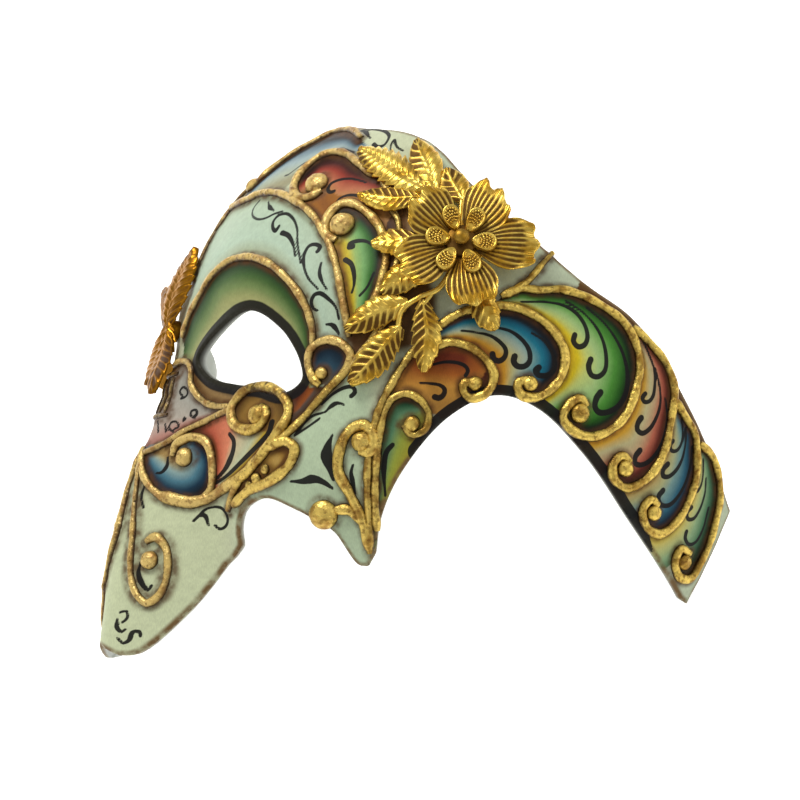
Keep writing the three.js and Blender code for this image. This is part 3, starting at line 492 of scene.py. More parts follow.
def paint_colours(points):
    """Linear colour of the paint at each chart point."""
    a, z = points.T
    nose = smooth((-z - 14) / 10) * smooth((30 - np.abs(a)) / 8)
    cheek = smooth((a - 26) / 8) * smooth((8 - z) / 8) * smooth((76 - a) / 6)
    temple = smooth((a - 74) / 12)
    brown = smooth(0.5 - signed(points, np.array(BROWN_GROUND, float)) / 3)
    colour = np.tile(np.array(srgb(*IVORY)), (len(points), 1))
    for weight, tint in ((nose, srgb(.80, .83, .67)), (cheek, srgb(.74, .81, .67)),
                         (temple, srgb(.75, .79, .67)), (brown, srgb(.36, .25, .12))):
        colour = colour * (1 - weight[:, None]) + np.array(tint) * weight[:, None]
    for outline, near, far, (stops, table) in arm_cells() + FACE_CELLS:
        here = np.where(inside(points, smooth_line(outline + outline[:1], 1.5)[:-1]))[0]
        near_gap, far_gap = ramp_gap(points[here], near), ramp_gap(points[here], far)
        t = near_gap / np.maximum(near_gap + far_gap, 0.01)
        colour[here] = np.stack([np.interp(t, stops, table[:, k]) for k in range(3)], -1)
    return colour


def ink_distance(points):
    """How far each point lies outside the black paint, negative inside it, in mm."""
    best = np.full(len(points), FAR_AWAY)
    for start, middle, end, *numbers in STROKES:
        track = smooth_line(pairs(*numbers), 0.8)
        width = np.interp(np.linspace(0, 1, len(track)), [0, 0.5, 1], [start, middle, end]) * INK_SPREAD
        best = np.minimum(best, distance(points, track, width=np.maximum(width, THINNEST_INK)))
    track = smooth_line(BLACK_EDGE, 1.5)
    taper = np.clip(np.arange(len(track)) / 7, 0, 1)
    return np.minimum(best, distance(points, track, width=BLACK_EDGE_WIDTH * taper))


# ---------------------------------------------------------------- mesh helpers
def add_object(name, data):
    obj = bpy.data.objects.new(name, data)
    bpy.context.scene.collection.objects.link(obj)
    return obj


def piece(name, verts, faces, material, node):
    mesh = bpy.data.meshes.new(name)
    mesh.from_pydata([tuple(v) for v in verts], [], [tuple(f) for f in faces])
    mesh.validate()
    return finish_piece(name, mesh, material, node)


def finish_piece(name, mesh, material, node):
    mesh.materials.clear()
    mesh.materials.append(material)
    mesh.polygons.foreach_set("use_smooth", [True] * len(mesh.polygons))
    obj = add_object(name, mesh)
    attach(obj, "root")
    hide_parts(node)
    return obj


def add_values(mesh, name, values, kind="FLOAT", key="value"):
    layer = mesh.attributes.new(name, kind, "POINT")
    layer.data.foreach_set(key, np.asarray(values, np.float32).ravel())


def add_lacquer_and_light(mesh, height):
    """The same lacquer and light value for the whole of a small piece: low for dark lacquer and painted shade, high
    for bright brass and painted highlight.
    """
    add_values(mesh, "relief", np.full(len(mesh.vertices), height))


def vertex_array(mesh, key="co"):
    flat = np.empty(len(mesh.vertices) * 3, np.float32)
    mesh.vertices.foreach_get(key, flat)
    return flat.reshape(-1, 3)


def finder_of(points):
    finder = kdtree.KDTree(len(points))
    for i, p in enumerate(points):
        finder.insert(p, i)
    finder.balance()
    return finder


# ---------------------------------------------------------------- node trees
def new_node(tree, kind, inputs, **settings):
    """A node with its own settings, and a value or a link for each input."""
    node = tree.nodes.new(kind)
    for name, value in settings.items():
        setattr(node, name, value)
    for key, value in inputs.items():
        if isinstance(value, bpy.types.NodeSocket):
            tree.links.new(value, node.inputs[key])
        elif isinstance(value, tuple) and len(node.inputs[key].default_value) == 4:
            node.inputs[key].default_value = (*value, 1)
        else:
            node.inputs[key].default_value = value
    return node


def maths(tree, operation, first, second):
    return new_node(tree, "ShaderNodeMath", {0: first, 1: second}, operation=operation).outputs[0]


def named(tree, attribute, kind="FLOAT"):
    return new_node(tree, "GeometryNodeInputNamedAttribute", {"Name": attribute}, data_type=kind).outputs["Attribute"]


def new_tree(name, detail, sockets, build):
    """A geometry tree: what build makes becomes one mesh, uneven along its normals, with its material."""
    tree = bpy.data.node_groups.new(name, "GeometryNodeTree")
    sockets = [("Geometry", "Geometry", None), *sockets, ("Unevenness", "Float", 0.0002), ("Grain", "Float", 420.0),
               ("Material", "Material", None)]
    for label, kind, default in sockets:
        socket = tree.interface.new_socket(label, in_out="INPUT", socket_type="NodeSocket" + kind)
        if default is not None:
            socket.default_value = default
    tree.interface.new_socket("Geometry", in_out="OUTPUT", socket_type="NodeSocketGeometry")
    given = tree.nodes.new("NodeGroupInput").outputs
    noise = new_node(tree, "ShaderNodeTexNoise", {"Scale": given["Grain"], "Detail": detail})
    size = maths(tree, "MULTIPLY", maths(tree, "SUBTRACT", noise.outputs["Fac"], 0.5), given["Unevenness"])
    normal = tree.nodes.new("GeometryNodeInputNormal").outputs["Normal"]
    push = new_node(tree, "ShaderNodeVectorMath", {0: normal, "Scale": size}, operation="SCALE")
    whole = new_node(tree, "GeometryNodeRealizeInstances", {"Geometry": build(tree, given)})
    moved = new_node(tree, "GeometryNodeSetPosition", {
        "Geometry": whole.outputs["Geometry"], "Offset": push.outputs["Vector"]})
    finish = new_node(tree, "GeometryNodeSetMaterial", {
        "Geometry": moved.outputs["Geometry"], "Material": given["Material"]})
    new_node(tree, "NodeGroupOutput", {"Geometry": finish.outputs["Geometry"]})
    return tree


def tube_tree():
    """Tubes along the edges of a mesh, as thick as its radius values, with a hand-laid unevenness."""
    def build(tree, given):
        curve = new_node(tree, "GeometryNodeMeshToCurve", {"Mesh": given["Geometry"]})
        radius = named(tree, "radius")
        thick = new_node(tree, "GeometryNodeSetCurveRadius", {"Curve": curve.outputs["Curve"], "Radius": radius})
        ring = new_node(tree, "GeometryNodeCurvePrimitiveCircle", {"Radius": 1.0, "Resolution": given["Sides"]})
        tube = new_node(tree, "GeometryNodeCurveToMesh", {
            "Curve": thick.outputs["Curve"], "Profile Curve": ring.outputs["Curve"], "Fill Caps": True})
        if "Scale" in tube.inputs:
            tree.links.new(radius, tube.inputs["Scale"])
        return tube.outputs["Mesh"]
    return new_tree("Piped stucco", 3.0, [("Sides", "Int", 10)], build)


def knob_tree():
    """A flattened ball at each point of a mesh, as large as its radius value, standing along its normal."""
    def build(tree, given):
        ball = new_node(tree, "GeometryNodeMeshUVSphere", {
            "Radius": 1.0, "Rings": given["Rows"], "Segments": maths(tree, "MULTIPLY", given["Rows"], 2.0)})
        turn = new_node(tree, "FunctionNodeAlignRotationToVector", {
            "Vector": named(tree, "stand", "FLOAT_VECTOR")}, axis="Z")
        flat = new_node(tree, "ShaderNodeCombineXYZ", {0: 1.0, 1: 1.0, 2: given["Flatness"]})
        scale = new_node(tree, "ShaderNodeVectorMath", {
            0: flat.outputs[0], "Scale": named(tree, "radius")}, operation="SCALE")
        spread = new_node(tree, "GeometryNodeInstanceOnPoints", {
            "Points": given["Geometry"], "Instance": ball.outputs["Mesh"], "Rotation": turn.outputs["Rotation"],
            "Scale": scale.outputs["Vector"]})
        return spread.outputs["Instances"]
    return new_tree("Knobs", 2.0, [("Rows", "Int", 10), ("Flatness", "Float", 0.75)], build)


def baked_mesh(name, guide, tree, material, values):
    """Runs a geometry tree on a guide mesh and returns the plain mesh it makes."""
    obj = add_object(name + "_guide", guide)
    modifier = obj.modifiers.new(name, "NODES")
    modifier.node_group = tree
    values = {**values, "Material": material}
    for item in tree.interface.items_tree:
        if item.item_type == "SOCKET" and item.in_out == "INPUT" and item.name in values:
            modifier[item.identifier] = values[item.name]
    deps = bpy.context.evaluated_depsgraph_get()
    result = bpy.data.meshes.new_from_object(obj.evaluated_get(deps), depsgraph=deps)
    result.name = name
    bpy.data.objects.remove(obj)
    return result


# ---------------------------------------------------------------- materials
class Look:
    """A material being built: its node tree, its shader, and short names for the nodes it uses."""

    def __init__(self, name):
        self.material = bpy.data.materials.new(name)
        self.material.use_nodes = True
        self.tree = self.material.node_tree
        self.shader = self.tree.nodes["Principled BSDF"]

    def value(self, name, output="Fac"):
        return new_node(self.tree, "ShaderNodeAttribute", {}, attribute_name=name).outputs[output]

    def noise(self, scale, detail=4.0, stretch=None):
        """Noise in the room, or stretched along the chart's own UV map."""
        source = self.tree.nodes.new("ShaderNodeTexCoord").outputs["UV" if stretch else "Object"]
        if stretch:
            source = new_node(self.tree, "ShaderNodeMapping", {"Vector": source, "Scale": stretch}).outputs["Vector"]
        return new_node(self.tree, "ShaderNodeTexNoise", {
            "Scale": scale, "Detail": detail, "Vector": source}).outputs["Fac"]

    def spread(self, value, low, high, to_low=0.0, to_high=1.0):
        return new_node(self.tree, "ShaderNodeMapRange", {
            "Value": value, "From Min": low, "From Max": high, "To Min": to_low, "To Max": to_high},
            interpolation_type="SMOOTHSTEP").outputs["Result"]

    def mix(self, factor, first, second, blend="MIX"):
        return new_node(self.tree, "ShaderNodeMix", {0: factor, 6: first, 7: second}, data_type="RGBA",
                        blend_type=blend).outputs[2]

    def times(self, first, second):
        return maths(self.tree, "MULTIPLY", first, second)

    def plus(self, first, second):
        return maths(self.tree, "ADD", first, second)

    def centred(self, noise, size):
        return self.times(maths(self.tree, "SUBTRACT", noise, 0.5), size)

    def done(self, bump=None, strength=0.0, reach=0.0, **sockets):
        """Sets the shader's sockets, with a bump of the given height, and returns the material."""
        if bump is not None:
            node = new_node(self.tree, "ShaderNodeBump", {"Strength": strength, "Distance": reach, "Height": bump})
            sockets["Normal"] = node.outputs["Normal"]
        for key, value in sockets.items():
            socket = self.shader.inputs[key.replace("_", " ")]
            if isinstance(value, bpy.types.NodeSocket):
                self.tree.links.new(value, socket)
            else:
                socket.default_value = value
        return self.material


def lacquer_material(settings):
    """Brushed paint in cells, black strokes, brown beside the ropes that is partly antiquing glaze and partly painted
    shade at their feet, and a bare grey inside.
    """
    look = Look("painted papier-mache")
    brush = look.noise(14.0, 5.0, (6.0, 1.4, 1.0))
    dabs = look.noise(5.0, 3.0, (2.0, 2.0, 1.0))
    tone = look.times(look.spread(brush, 0.3, 0.75, 0.90, 1.04), look.spread(dabs, 0.3, 0.7, 0.94, 1.03))
    grey = new_node(look.tree, "ShaderNodeCombineColor", {0: tone, 1: tone, 2: tone}).outputs[0]
    colour = look.mix(1.0, look.value("paint", "Color"), grey, "MULTIPLY")
    grime = look.noise(300.0)
    # Brown beside the ropes: partly antiquing glaze, partly painted shade where the ropes meet the face
    near = look.spread(look.value("rope_gap"), 1.3, 3.0, 1.0, 0.0)
    glaze_and_shade = look.times(look.times(near, look.spread(grime, 0.32, 0.62, 0.35, 1.0)), settings.antiquing_and_shade)
    colour = look.mix(glaze_and_shade, colour, srgb(.33, .20, .07))
    ink = look.spread(look.plus(look.value("ink_gap"), look.centred(grime, 0.2)), -0.05, 0.16, 0.98, 0.0)
    lid = look.spread(look.plus(look.value("eye_gap"), look.times(grime, 0.3)), 2.8, 3.3, 0.97, 0.0)
    black = maths(look.tree, "MAXIMUM", ink, lid)
    colour = look.mix(black, colour, srgb(.075, .065, .06))
    worn = look.times(look.spread(look.value("edge_gap"), 0.5, 1.6, 1.0, 0.0),
                      look.spread(grime, 0.3, 0.6, 0.4, 1.0))
    worn = look.times(worn, maths(look.tree, "SUBTRACT", 1.0, black))
    colour = look.mix(worn, colour, srgb(.46, .36, .22))
    inner = look.value("inner")
    bare = look.mix(look.noise(60.0, 6.0), srgb(.70, .71, .68), srgb(.82, .83, .80))
    return look.done(look.plus(look.noise(900.0, 3.0), look.times(brush, 0.8)), 0.16, 0.0003,
                     Base_Color=look.mix(inner, colour, bare), Roughness=look.spread(inner, 0, 1, 0.5, 0.75),
                     Specular_IOR_Level=0.16)


def gilt_material(settings):
    """Gold paint over stucco, bright on top and browned at the foot, the brown partly antique glaze and partly painted
    shade where the rope meets the face.
    """
    look = Look("gilded stucco")
    bright = look.value("shine")
    flecks, broad = look.noise(700.0, 5.0), look.noise(260.0)
    worn = look.spread(broad, 0.44, 0.66, 0.0, 0.8)
    pale = look.mix(worn, tuple(settings.gilt_pale), tuple(settings.gilt_warm))
    rich = look.mix(worn, srgb(.92, .79, .38), srgb(.56, .39, .10))
    gold = look.mix(bright, pale, rich)
    pitted = look.mix(look.spread(flecks, 0.53, 0.66, 0.0, 0.6), gold, srgb(.42, .26, .07))
    # Browner towards the rope's foot: partly antique glaze, partly painted shade
    foot = look.plus(look.value("lift"), look.centred(flecks, 1.1))
    colour = look.mix(look.spread(foot, 0.25, 1.15, 0.95, 0.0), pitted, srgb(.20, .11, .03))
    return look.done(look.plus(flecks, look.times(broad, 1.5)), 0.75, 0.0006, Base_Color=colour,
                     Metallic=look.spread(bright, 0, 1, 0.4, 0.75), Roughness=look.spread(flecks, 0.3, 0.7, 0.26, 0.5))


def brass_material(settings):
    """Stamped brass with painted highlights on its high lines, dark lacquer and painted shade in the hollows, and
    painted shade on the far leaves.
    """
    look = Look("antique brass")
    cloud, speck = look.noise(160.0), look.noise(1200.0, 3.0)
    gold = look.mix(look.spread(cloud, 0.35, 0.68), tuple(settings.brass), srgb(.76, .57, .14))
    # The far leaves take a browner brass as painted shade, for they face away from the light
    gold = look.mix(look.value("tarnish"), gold, srgb(.63, .42, .02))
    # Low values take dark lacquer and painted shade, high values the bright brass of a painted highlight
    level = look.plus(look.plus(look.value("relief"), look.centred(speck, 0.3)), look.centred(cloud, 0.6))
    colour = look.mix(look.spread(level, 0.05, 0.55, 0.95, 0.0), gold, srgb(.32, .19, .03))
    return look.done(speck, 0.15, 0.0002, Base_Color=colour, Metallic=0.8,
                     Roughness=look.spread(level, 0.2, 0.8, 0.48, 0.24))


def floor_material():
    look = Look("pale floor")
    tint = look.mix(look.noise(3.0), srgb(.985, .985, .98), srgb(.995, .995, .99))
    return look.done(Base_Color=tint, Roughness=0.9, Emission_Color=(1, 1, 1, 1), Emission_Strength=0.6)


# ---------------------------------------------------------------- settings
def number(name, description, default, kind=bpy.props.FloatProperty, **more):
    return kind(name=name, description=description, default=default, **more)


def colour_setting(name, description, default):
    return number(name, description, default, bpy.props.FloatVectorProperty, size=3, subtype="COLOR")


class ShellSettings(bpy.types.PropertyGroup):
    pitch: number("Mesh pitch", "Size of the painted side's facets, in mm", 0.55, min=0.5, max=4)
    back_pitch: number("Inside mesh pitch", "Size of the facets inside the mask, in mm", 1.5, min=1, max=4)
    # How dark the brown beside the ropes is, partly glaze and partly painted shade
    antiquing_and_shade: number("Antiquing", "How dark the brown glaze is beside the ropes", 0.85, min=0, max=1,
                      subtype="FACTOR")
    eye_rim: number("Eye rim height", "How far the rim of the eye hole turns out, in mm", 0.9)


class ScrollSettings(bpy.types.PropertyGroup):
    lift: number("Rope lift", "Height of the middle of a rope over the face, in mm", 0.35)
    unevenness: number("Unevenness", "Depth of the hand-laid unevenness", 0.0003, unit="LENGTH")
    gilt_pale: colour_setting("Pale gilt", "Colour of the gilding on the face", srgb(.89, .76, .44))
    gilt_warm: colour_setting("Warm gilt", "Second colour of the gilding on the face", srgb(.62, .43, .17))


class BrassSettings(bpy.types.PropertyGroup):
    brass: colour_setting("Brass", "Colour of the bright brass", srgb(.96, .82, .38))
    petal_half_width: number("Petal half width", "Half the width of a petal across its fan, in mm", 7.0)
    rib_count: number("Petal ribs", "Ribs pressed into each petal", 10, bpy.props.IntProperty, min=3, max=16)


class StageSettings(bpy.types.PropertyGroup):
    light: number("Light", "Strength of the studio lights", 1.0, min=0)


# ---------------------------------------------------------------- shell
CHART_SIZE = (-86, 194), (-79, 84)
EDGE_ROUND = 0.9  # how far in the shell's edge is rounded
EDGE_DROP, BACK_EDGE_RISE = 0.55, 0.5
FOOT_RISE, FOOT_WIDTH = 0.45, 1.7  # how the ground rises to a rope
LIP_WIDTH = 3.6
BACK_WAVE = 0.6
PLAIN_GAP = 12.0  # distance from rope and ink at which the paint is plain
UV_SIZE = 20.0  # chart millimetres in one unit of the UV map


def arm_trim_gap(points):
    """How far chart points lie inside the flat cut at the end of the arm, in mm."""
    upper, lower = face_point(*np.array(ARM_TRIM, float).T)
    out = -np.cross(lower - upper, face_normal(*np.array(ARM_TRIM[0], float)))
    out /= np.linalg.norm(out)
    return -((face_point(*points.T) - (upper + lower) / 2) @ out)


def shell_field(points, outline, eye):
    """Distance inside the shell's edge, negative outside, and the distance to the eye hole."""
    rim = -signed(points, outline)
    rim = np.minimum(rim, np.where(points[:, 0] > 150, arm_trim_gap(points), FAR_AWAY))
    hole = signed(points, eye)
    return np.minimum(rim, 30), np.minimum(hole, 30)


def shell_sheet(pitch):
    """Chart points and faces of the shell, with its edge on the outline, and the distances to its edges."""
    outline, eye = outline_points(), eye_points()
    grid = np.stack(np.meshgrid(*(np.arange(*size, pitch) for size in CHART_SIZE), indexing="ij"), -1)
    field = np.minimum(*shell_field(grid.reshape(-1, 2), outline, eye)).reshape(grid.shape[:2])
    field = np.clip(field, -4, 4)
    slope = np.stack(np.gradient(field, pitch), -1)
    steep = np.maximum((slope ** 2).sum(-1), 0.25)
    # the points nearest to the edge are moved on to it
    close = np.abs(field) < 0.58 * pitch
    grid = np.where(close[..., None], grid - slope * (field / steep)[..., None], grid)
    kept = (field > 0) | close
    m, n = field.shape
    ids = np.arange(m * n).reshape(m, n)
    kept, field, quad = ([v[i:m - 1 + i, j:n - 1 + j] for i, j in ((0, 0), (1, 0), (1, 1), (0, 1))]
                         for v in (kept, field, ids))
    middle, count = sum(field), sum(k.astype(int) for k in kept)
    full = (count == 4) & (middle > -0.2 * pitch)
    faces = np.stack([q[full] for q in quad], -1).tolist()
    for out in range(4):
        three = (count == 3) & ~kept[out] & (middle > -2.2 * pitch)
        faces += np.stack([quad[k][three] for k in range(4) if k != out], -1).tolist()
    used = np.unique(np.array([i for f in faces for i in f]))
    index = np.full(m * n, -1)
    index[used] = np.arange(len(used))
    faces = [tuple(int(index[i]) for i in f) for f in faces]
    points = grid.reshape(-1, 2)[used]
    return points, faces, *shell_field(points, outline, eye)


def rope_tracks(step):
    return [(smooth_line(line, step), start, end) for line, start, end in ROPES]


def rope_gap(points):
    """Distance from chart points to the nearest rope or knob."""
    cloud = np.vstack([track for track, _, _ in rope_tracks(0.5)] + [np.array([at], float) for at, _ in KNOBS])
    finder = finder_of([(x, y, 0) for x, y in cloud])
    gap = np.array([finder.find((x, y, 0))[2] for x, y in points])
    for at, radius in KNOBS:
        gap = np.minimum(gap, np.maximum(np.hypot(*(points - at).T) - radius + 1.2, 0))
    return gap


def rim_loops(faces):
    """The rims of a sheet as closed rings of vertex numbers, the longest first."""
    edges = {(i, j): None for face in faces for i, j in zip(face, face[1:] + face[:1])}
    following = {}
    for i, j in edges:
        if (j, i) not in edges:
            following.setdefault(i, []).append(j)
    rings = []
    while following:
        ring = [next(iter(following))]
        while following.get(ring[-1]):
            step = following[ring[-1]].pop()
            if step == ring[0]:
                break
            ring.append(step)
        following = {i: ends for i, ends in following.items() if ends}
        if len(ring) > 20:
            rings.append(ring)
    return sorted(rings, key=len, reverse=True)


def stitch(fine, coarse, fine_points, coarse_points):
    """Triangles between two rings that run the same way, each step taking the shorter diagonal."""
    first = int(np.argmin(np.hypot(*(coarse_points - fine_points[0]).T)))
    coarse, coarse_points = coarse[first:] + coarse[:first], np.roll(coarse_points, -first, 0)
    m, n = len(fine), len(coarse)
    faces, k, q = [], 0, 0
    while k < m or q < n:
        here, there = fine_points[k % m], coarse_points[q % n]
        ahead, beyond = fine_points[(k + 1) % m], coarse_points[(q + 1) % n]
        along = np.hypot(*(ahead - there)) <= np.hypot(*(beyond - here))
        if q >= n or (along and k < m):
            faces.append((fine[(k + 1) % m], fine[k % m], coarse[q % n]))
            k += 1
        else:
            faces.append((fine[k % m], coarse[q % n], coarse[(q + 1) % n]))
            q += 1
    return faces


def surface_wave(points):
    a, z = points.T
    return 0.10 * np.sin(a / 3.1 + 1.3 * np.sin(z / 4.3)) * np.sin(z / 2.7 + 0.7 * np.sin(a / 5.1))


def build_shell(settings, material):
    points, faces, rim, hole = shell_sheet(settings.pitch)
    back, back_faces, back_rim, back_hole = shell_sheet(settings.back_pitch)
    edge, back_edge = (np.minimum(np.maximum(r, 0), np.maximum(h, 0)) for r, h in ((rim, hole), (back_rim, back_hole)))
    round_edge, back_round = (np.clip(1 - e / EDGE_ROUND, 0, 1) ** 2 for e in (edge, back_edge))
    ropes = rope_gap(points)
    lip = settings.eye_rim * smooth(1 - np.maximum(hole, 0) / LIP_WIDTH)
    height = FOOT_RISE * np.exp(-(ropes / FOOT_WIDTH) ** 2) + surface_wave(points) + lip - EDGE_DROP * round_edge
    under = -WALL + BACK_EDGE_RISE * back_round + BACK_WAVE * surface_wave(back)
    rings, back_rings = rim_loops(faces), rim_loops(back_faces)
    ids = np.array([i for ring in rings for i in ring])
    where = {int(i): len(points) + k for k, i in enumerate(ids)}
    start = len(points) + len(ids)
    faces = list(faces) + [tuple(i + start for i in reversed(face)) for face in back_faces]
    for ring, back_ring in zip(rings, back_rings):
        faces += [(j, i, where[i], where[j]) for i, j in zip(ring, ring[1:] + ring[:1])]
        faces += stitch([where[i] for i in ring], [i + start for i in back_ring], points[ring], back[back_ring])
    verts = np.vstack([on_face(*points.T, height), on_face(*points[ids].T, (height[ids] - WALL + BACK_EDGE_RISE) / 2),
                       on_face(*back.T, under)])
    obj = piece("mask_shell_painted", verts, faces, material, "mask_shell")
    mesh = obj.data
    order = np.concatenate([np.arange(len(points)), ids])
    colours = np.ones((len(verts), 4), np.float32)
    colours[:, :3] = np.vstack([paint_colours(points)[order], np.tile(np.array(srgb(*IVORY)), (len(back), 1))])
    mesh.color_attributes.new("paint", "FLOAT_COLOR", "POINT").data.foreach_set("color", colours.ravel())
    plain = np.full(len(back), PLAIN_GAP)
    for name, front, behind in (("rope_gap", np.minimum(ropes, PLAIN_GAP), plain),
                                ("ink_gap", np.minimum(ink_distance(points), PLAIN_GAP), plain),
                                ("edge_gap", edge, back_edge), ("eye_gap", hole, back_hole)):
        add_values(mesh, name, np.concatenate([front[order], behind]))
    add_values(mesh, "inner", np.repeat([0, 0.25, 1], [len(points), len(ids), len(back)]))
    corner = np.empty(len(mesh.loops), np.int32)
    mesh.loops.foreach_get("vertex_index", corner)
    chart = (np.vstack([points[order], back]) / UV_SIZE)[corner]
    mesh.uv_layers.new(name="chart").data.foreach_set("uv", chart.astype(np.float32).ravel())
    return obj


# ---------------------------------------------------------------- ropes and knobs
def guide_mesh(tracks):
    """Open polylines with a radius at each point: tracks are (points, radii) in metres."""
    verts, edges, radii = [], [], []
    for points, radius in tracks:
        start = len(verts)
        verts += [tuple(p) for p in points]
        edges += [(start + k, start + k + 1) for k in range(len(points) - 1)]
        radii += list(radius)
    mesh = bpy.data.meshes.new("lines")
    mesh.from_pydata(verts, edges, [])
    add_values(mesh, "radius", radii)
    return mesh


def points_mesh(places, heights, radii):
    """Loose points over chart places, with a radius in metres and the way each one stands."""
    places = np.array(places, float)
    mesh = bpy.data.meshes.new("points")
    mesh.from_pydata([tuple(p) for p in on_face(*places.T, heights)], [], [])
    add_values(mesh, "radius", radii)
    add_values(mesh, "stand", face_normal(*places.T) @ HEAD_AXES.T, "FLOAT_VECTOR", "vector")
    return mesh


def lift_values(mesh, body):
    """How high each vertex stands over the shell, from 0 at the face to 1 at a millimetre and more."""
    normals = vertex_array(body, "normal")
    finder = finder_of(vertex_array(body))
    out = []
    for p in vertex_array(mesh):
        q, i, _ = finder.find(p)
        out.append(float(np.dot(p - np.array(q), normals[i])) * 1000)
    return np.clip(np.array(out), 0, 1.4)


def shine_values(mesh):
    """The gilding is richer towards the temple and the arm: 1 there, 0 on the face."""
    points = (vertex_array(mesh) * 1000 - HEAD_PLACE) @ HEAD_AXES
    around = np.arctan2(-points[:, 0], points[:, 1] - HEAD_MIDDLE) * CHART_RADIUS
    arm = smooth((around - 60) / 30)
    low = 0.75 * smooth((around - 26) / 10) * smooth((6 - points[:, 2]) / 8)
    return np.maximum(arm, low)


def stucco_piece(name, guide, tree, material, shell, values):
    mesh = baked_mesh(name, guide, tree, material, values)
    obj = finish_piece(name, mesh, material, "mask_shell")
    add_values(mesh, "lift", lift_values(mesh, shell.data))
    add_values(mesh, "shine", shine_values(mesh))
    return obj


def build_ropes(settings, material, shell):
    tracks = []
    for track, start, end in rope_tracks(0.75):
        steps = np.arange(len(track))
        t = np.linspace(0, 1, len(track))
        radius = start + (end - start) * t
        radius = radius * (1 + 0.06 * np.sin(t * len(track) * 0.55) + 0.05 * np.sin(t * len(track) * 0.23 + 1))
        radius = radius * np.clip(0.72 + 0.1 * np.minimum(steps, steps[::-1]), 0, 1)
        tracks.append((on_face(*track.T, settings.lift), radius / 1000))
    return stucco_piece("scroll_ropes", guide_mesh(tracks), tube_tree(), material, shell, {
        "Sides": 10, "Unevenness": settings.unevenness, "Grain": 650.0})


def build_knobs(material, shell):
    radii = np.array([radius for _, radius in KNOBS]) / 1000
    guide = points_mesh([at for at, _ in KNOBS], 0.35, radii)
    return stucco_piece("scroll_knobs", guide, knob_tree(), material, shell, {
        "Rows": 14, "Flatness": 0.78, "Unevenness": 0.0007, "Grain": 380.0})


# ---------------------------------------------------------------- brass
FLOWER_AT = (96.2, 36.0)
FLOWER_HEIGHT = 3.3
HUB_RISE = 2.2
BEAD_RADIUS = 2.2
SPRAY_HEIGHT = 2.1
# Turn round the middle in degrees, and length
PETALS = [(-3, 21), (54, 17), (139, 17.2), (208, 17.8), (285, 18)]
PETAL_START = 3.6
PETAL_GRID = 88, 26
LEAF_COLUMNS, ROWS_PER_VEIN, VEIN_SPACING = 28, 14, 2.3
CUP_TURNS = [math.tau * (k - 0.08) / 6 for k in range(6)]
CUP_OUT = 6.3
# Rings of dots in a seed cup: distance from its middle as a part of its radius, and count
DOT_RINGS = [(0.0, 1), (0.24, 6), (0.46, 11), (0.68, 16)]
DOT_RADIUS = 0.00036
# Base, tip, half width and how long the teeth are
SPRAY_LEAVES = [((86.5, 51.5), (57.6, 64.5), 4.6, 0.3), ((88.2, 51), (78.5, 67.6), 5, 0.08),
                ((96.2, 48.5), (91.5, 58.5), 4.5, 0.1), ((83.8, 49.2), (64, 50.7), 3.4, 0.08),
                ((84, 38), (71.2, 35.2), 3.8, 0.16), ((86.5, 29.5), (75.2, 22.2), 4.2, 0.12),
                ((82.5, 20), (65.6, 13.3), 4.3, 0.14), ((81, 13), (67, -1.5), 4.6, 0.2),
                ((86.5, 20.5), (87.5, 1), 4, 0.2), ((100, 22.5), (107.3, 13.5), 4, 0.16)]
SPRAY_STEMS = [pairs(95, 31, 90.4, 23.5, 85.2, 21, 80.9, 17.5, 80, 12), [(89, 22.6), (86.5, 19)],
               [(93, 32), (86, 29)], [(98, 32), (100.5, 21.5)], [(94, 41), (87.5, 52)], [(95.7, 41), (96, 49.5)],
               [(93, 40), (85, 50)], [(91, 37.5), (83, 38)]]
# Base, tip, half width, rise at the tip and tilt at the left edge
FAR_LEAVES = [((-4.5, 21), (-4.5, 43), 5.2, -0.2, 2.0), ((-4.5, 21), (-5, 3), 5.4, 2, -2.4),
              ((-3.5, 19), (0, 0), 4.0, 1, -1.2), ((-7, 22), (-18, 33), 4.5, 3, 0), ((-7, 18), (-16, 5), 5, 3, 0)]


def closed_sheet(at, nu, nv):
    """Vertices, faces and lacquer and light value of a sheet over u and v: at gives chart a, z, h and that value for
    top and underside.
    """
    u, v = np.meshgrid(np.linspace(0, 1, nu + 1), np.linspace(0, 1, nv + 1), indexing="ij")
    top, bottom = at(u.ravel(), v.ravel(), 1.0), at(u.ravel(), v.ravel(), 0.0)
    count = (nu + 1) * (nv + 1)
    ids = np.arange(count).reshape(nu + 1, nv + 1)
    quads = np.stack([ids[:-1, :-1], ids[1:, :-1], ids[1:, 1:], ids[:-1, 1:]], -1).reshape(-1, 4)
    faces = quads.tolist() + (quads[:, ::-1] + count).tolist()
    ring = [int(i) for line in (ids[:, 0], ids[-1, 1:], ids[-2::-1, -1], ids[0, -2:0:-1]) for i in line]
    faces += [[j, i, i + count, j + count] for i, j in zip(ring, ring[1:] + ring[:1])]
    verts = np.vstack([on_face(*top[:3]), on_face(*bottom[:3])])
    return verts, faces, np.concatenate([top[3], 0.55 + 0 * bottom[3]])


def ring_faces(rings, columns, start=0):
    """Quads between rings of the same number of points that lie one after the other."""
    faces = []
    for k in range(rings):
        for c in range(columns):
            a, b = start + k * columns + c, start + k * columns + (c + 1) % columns
            faces.append((a, b, b + columns, a + columns))
    return faces


def sheets_piece(name, sheets, material, node):
    """One piece of brass from several closed sheets, with the value that paints its high lines with highlight and its
    hollows with lacquer and shade.
    """
    verts, faces, relief = [], [], []
    for v, f, r in sheets:
        start = sum(len(x) for x in verts)
        verts.append(v)
        faces += [[i + start for i in face] for face in f]
        relief.append(r)
    obj = piece(name, np.vstack(verts), faces, material, node)
    add_values(obj.data, "relief", np.concatenate(relief))
    return obj


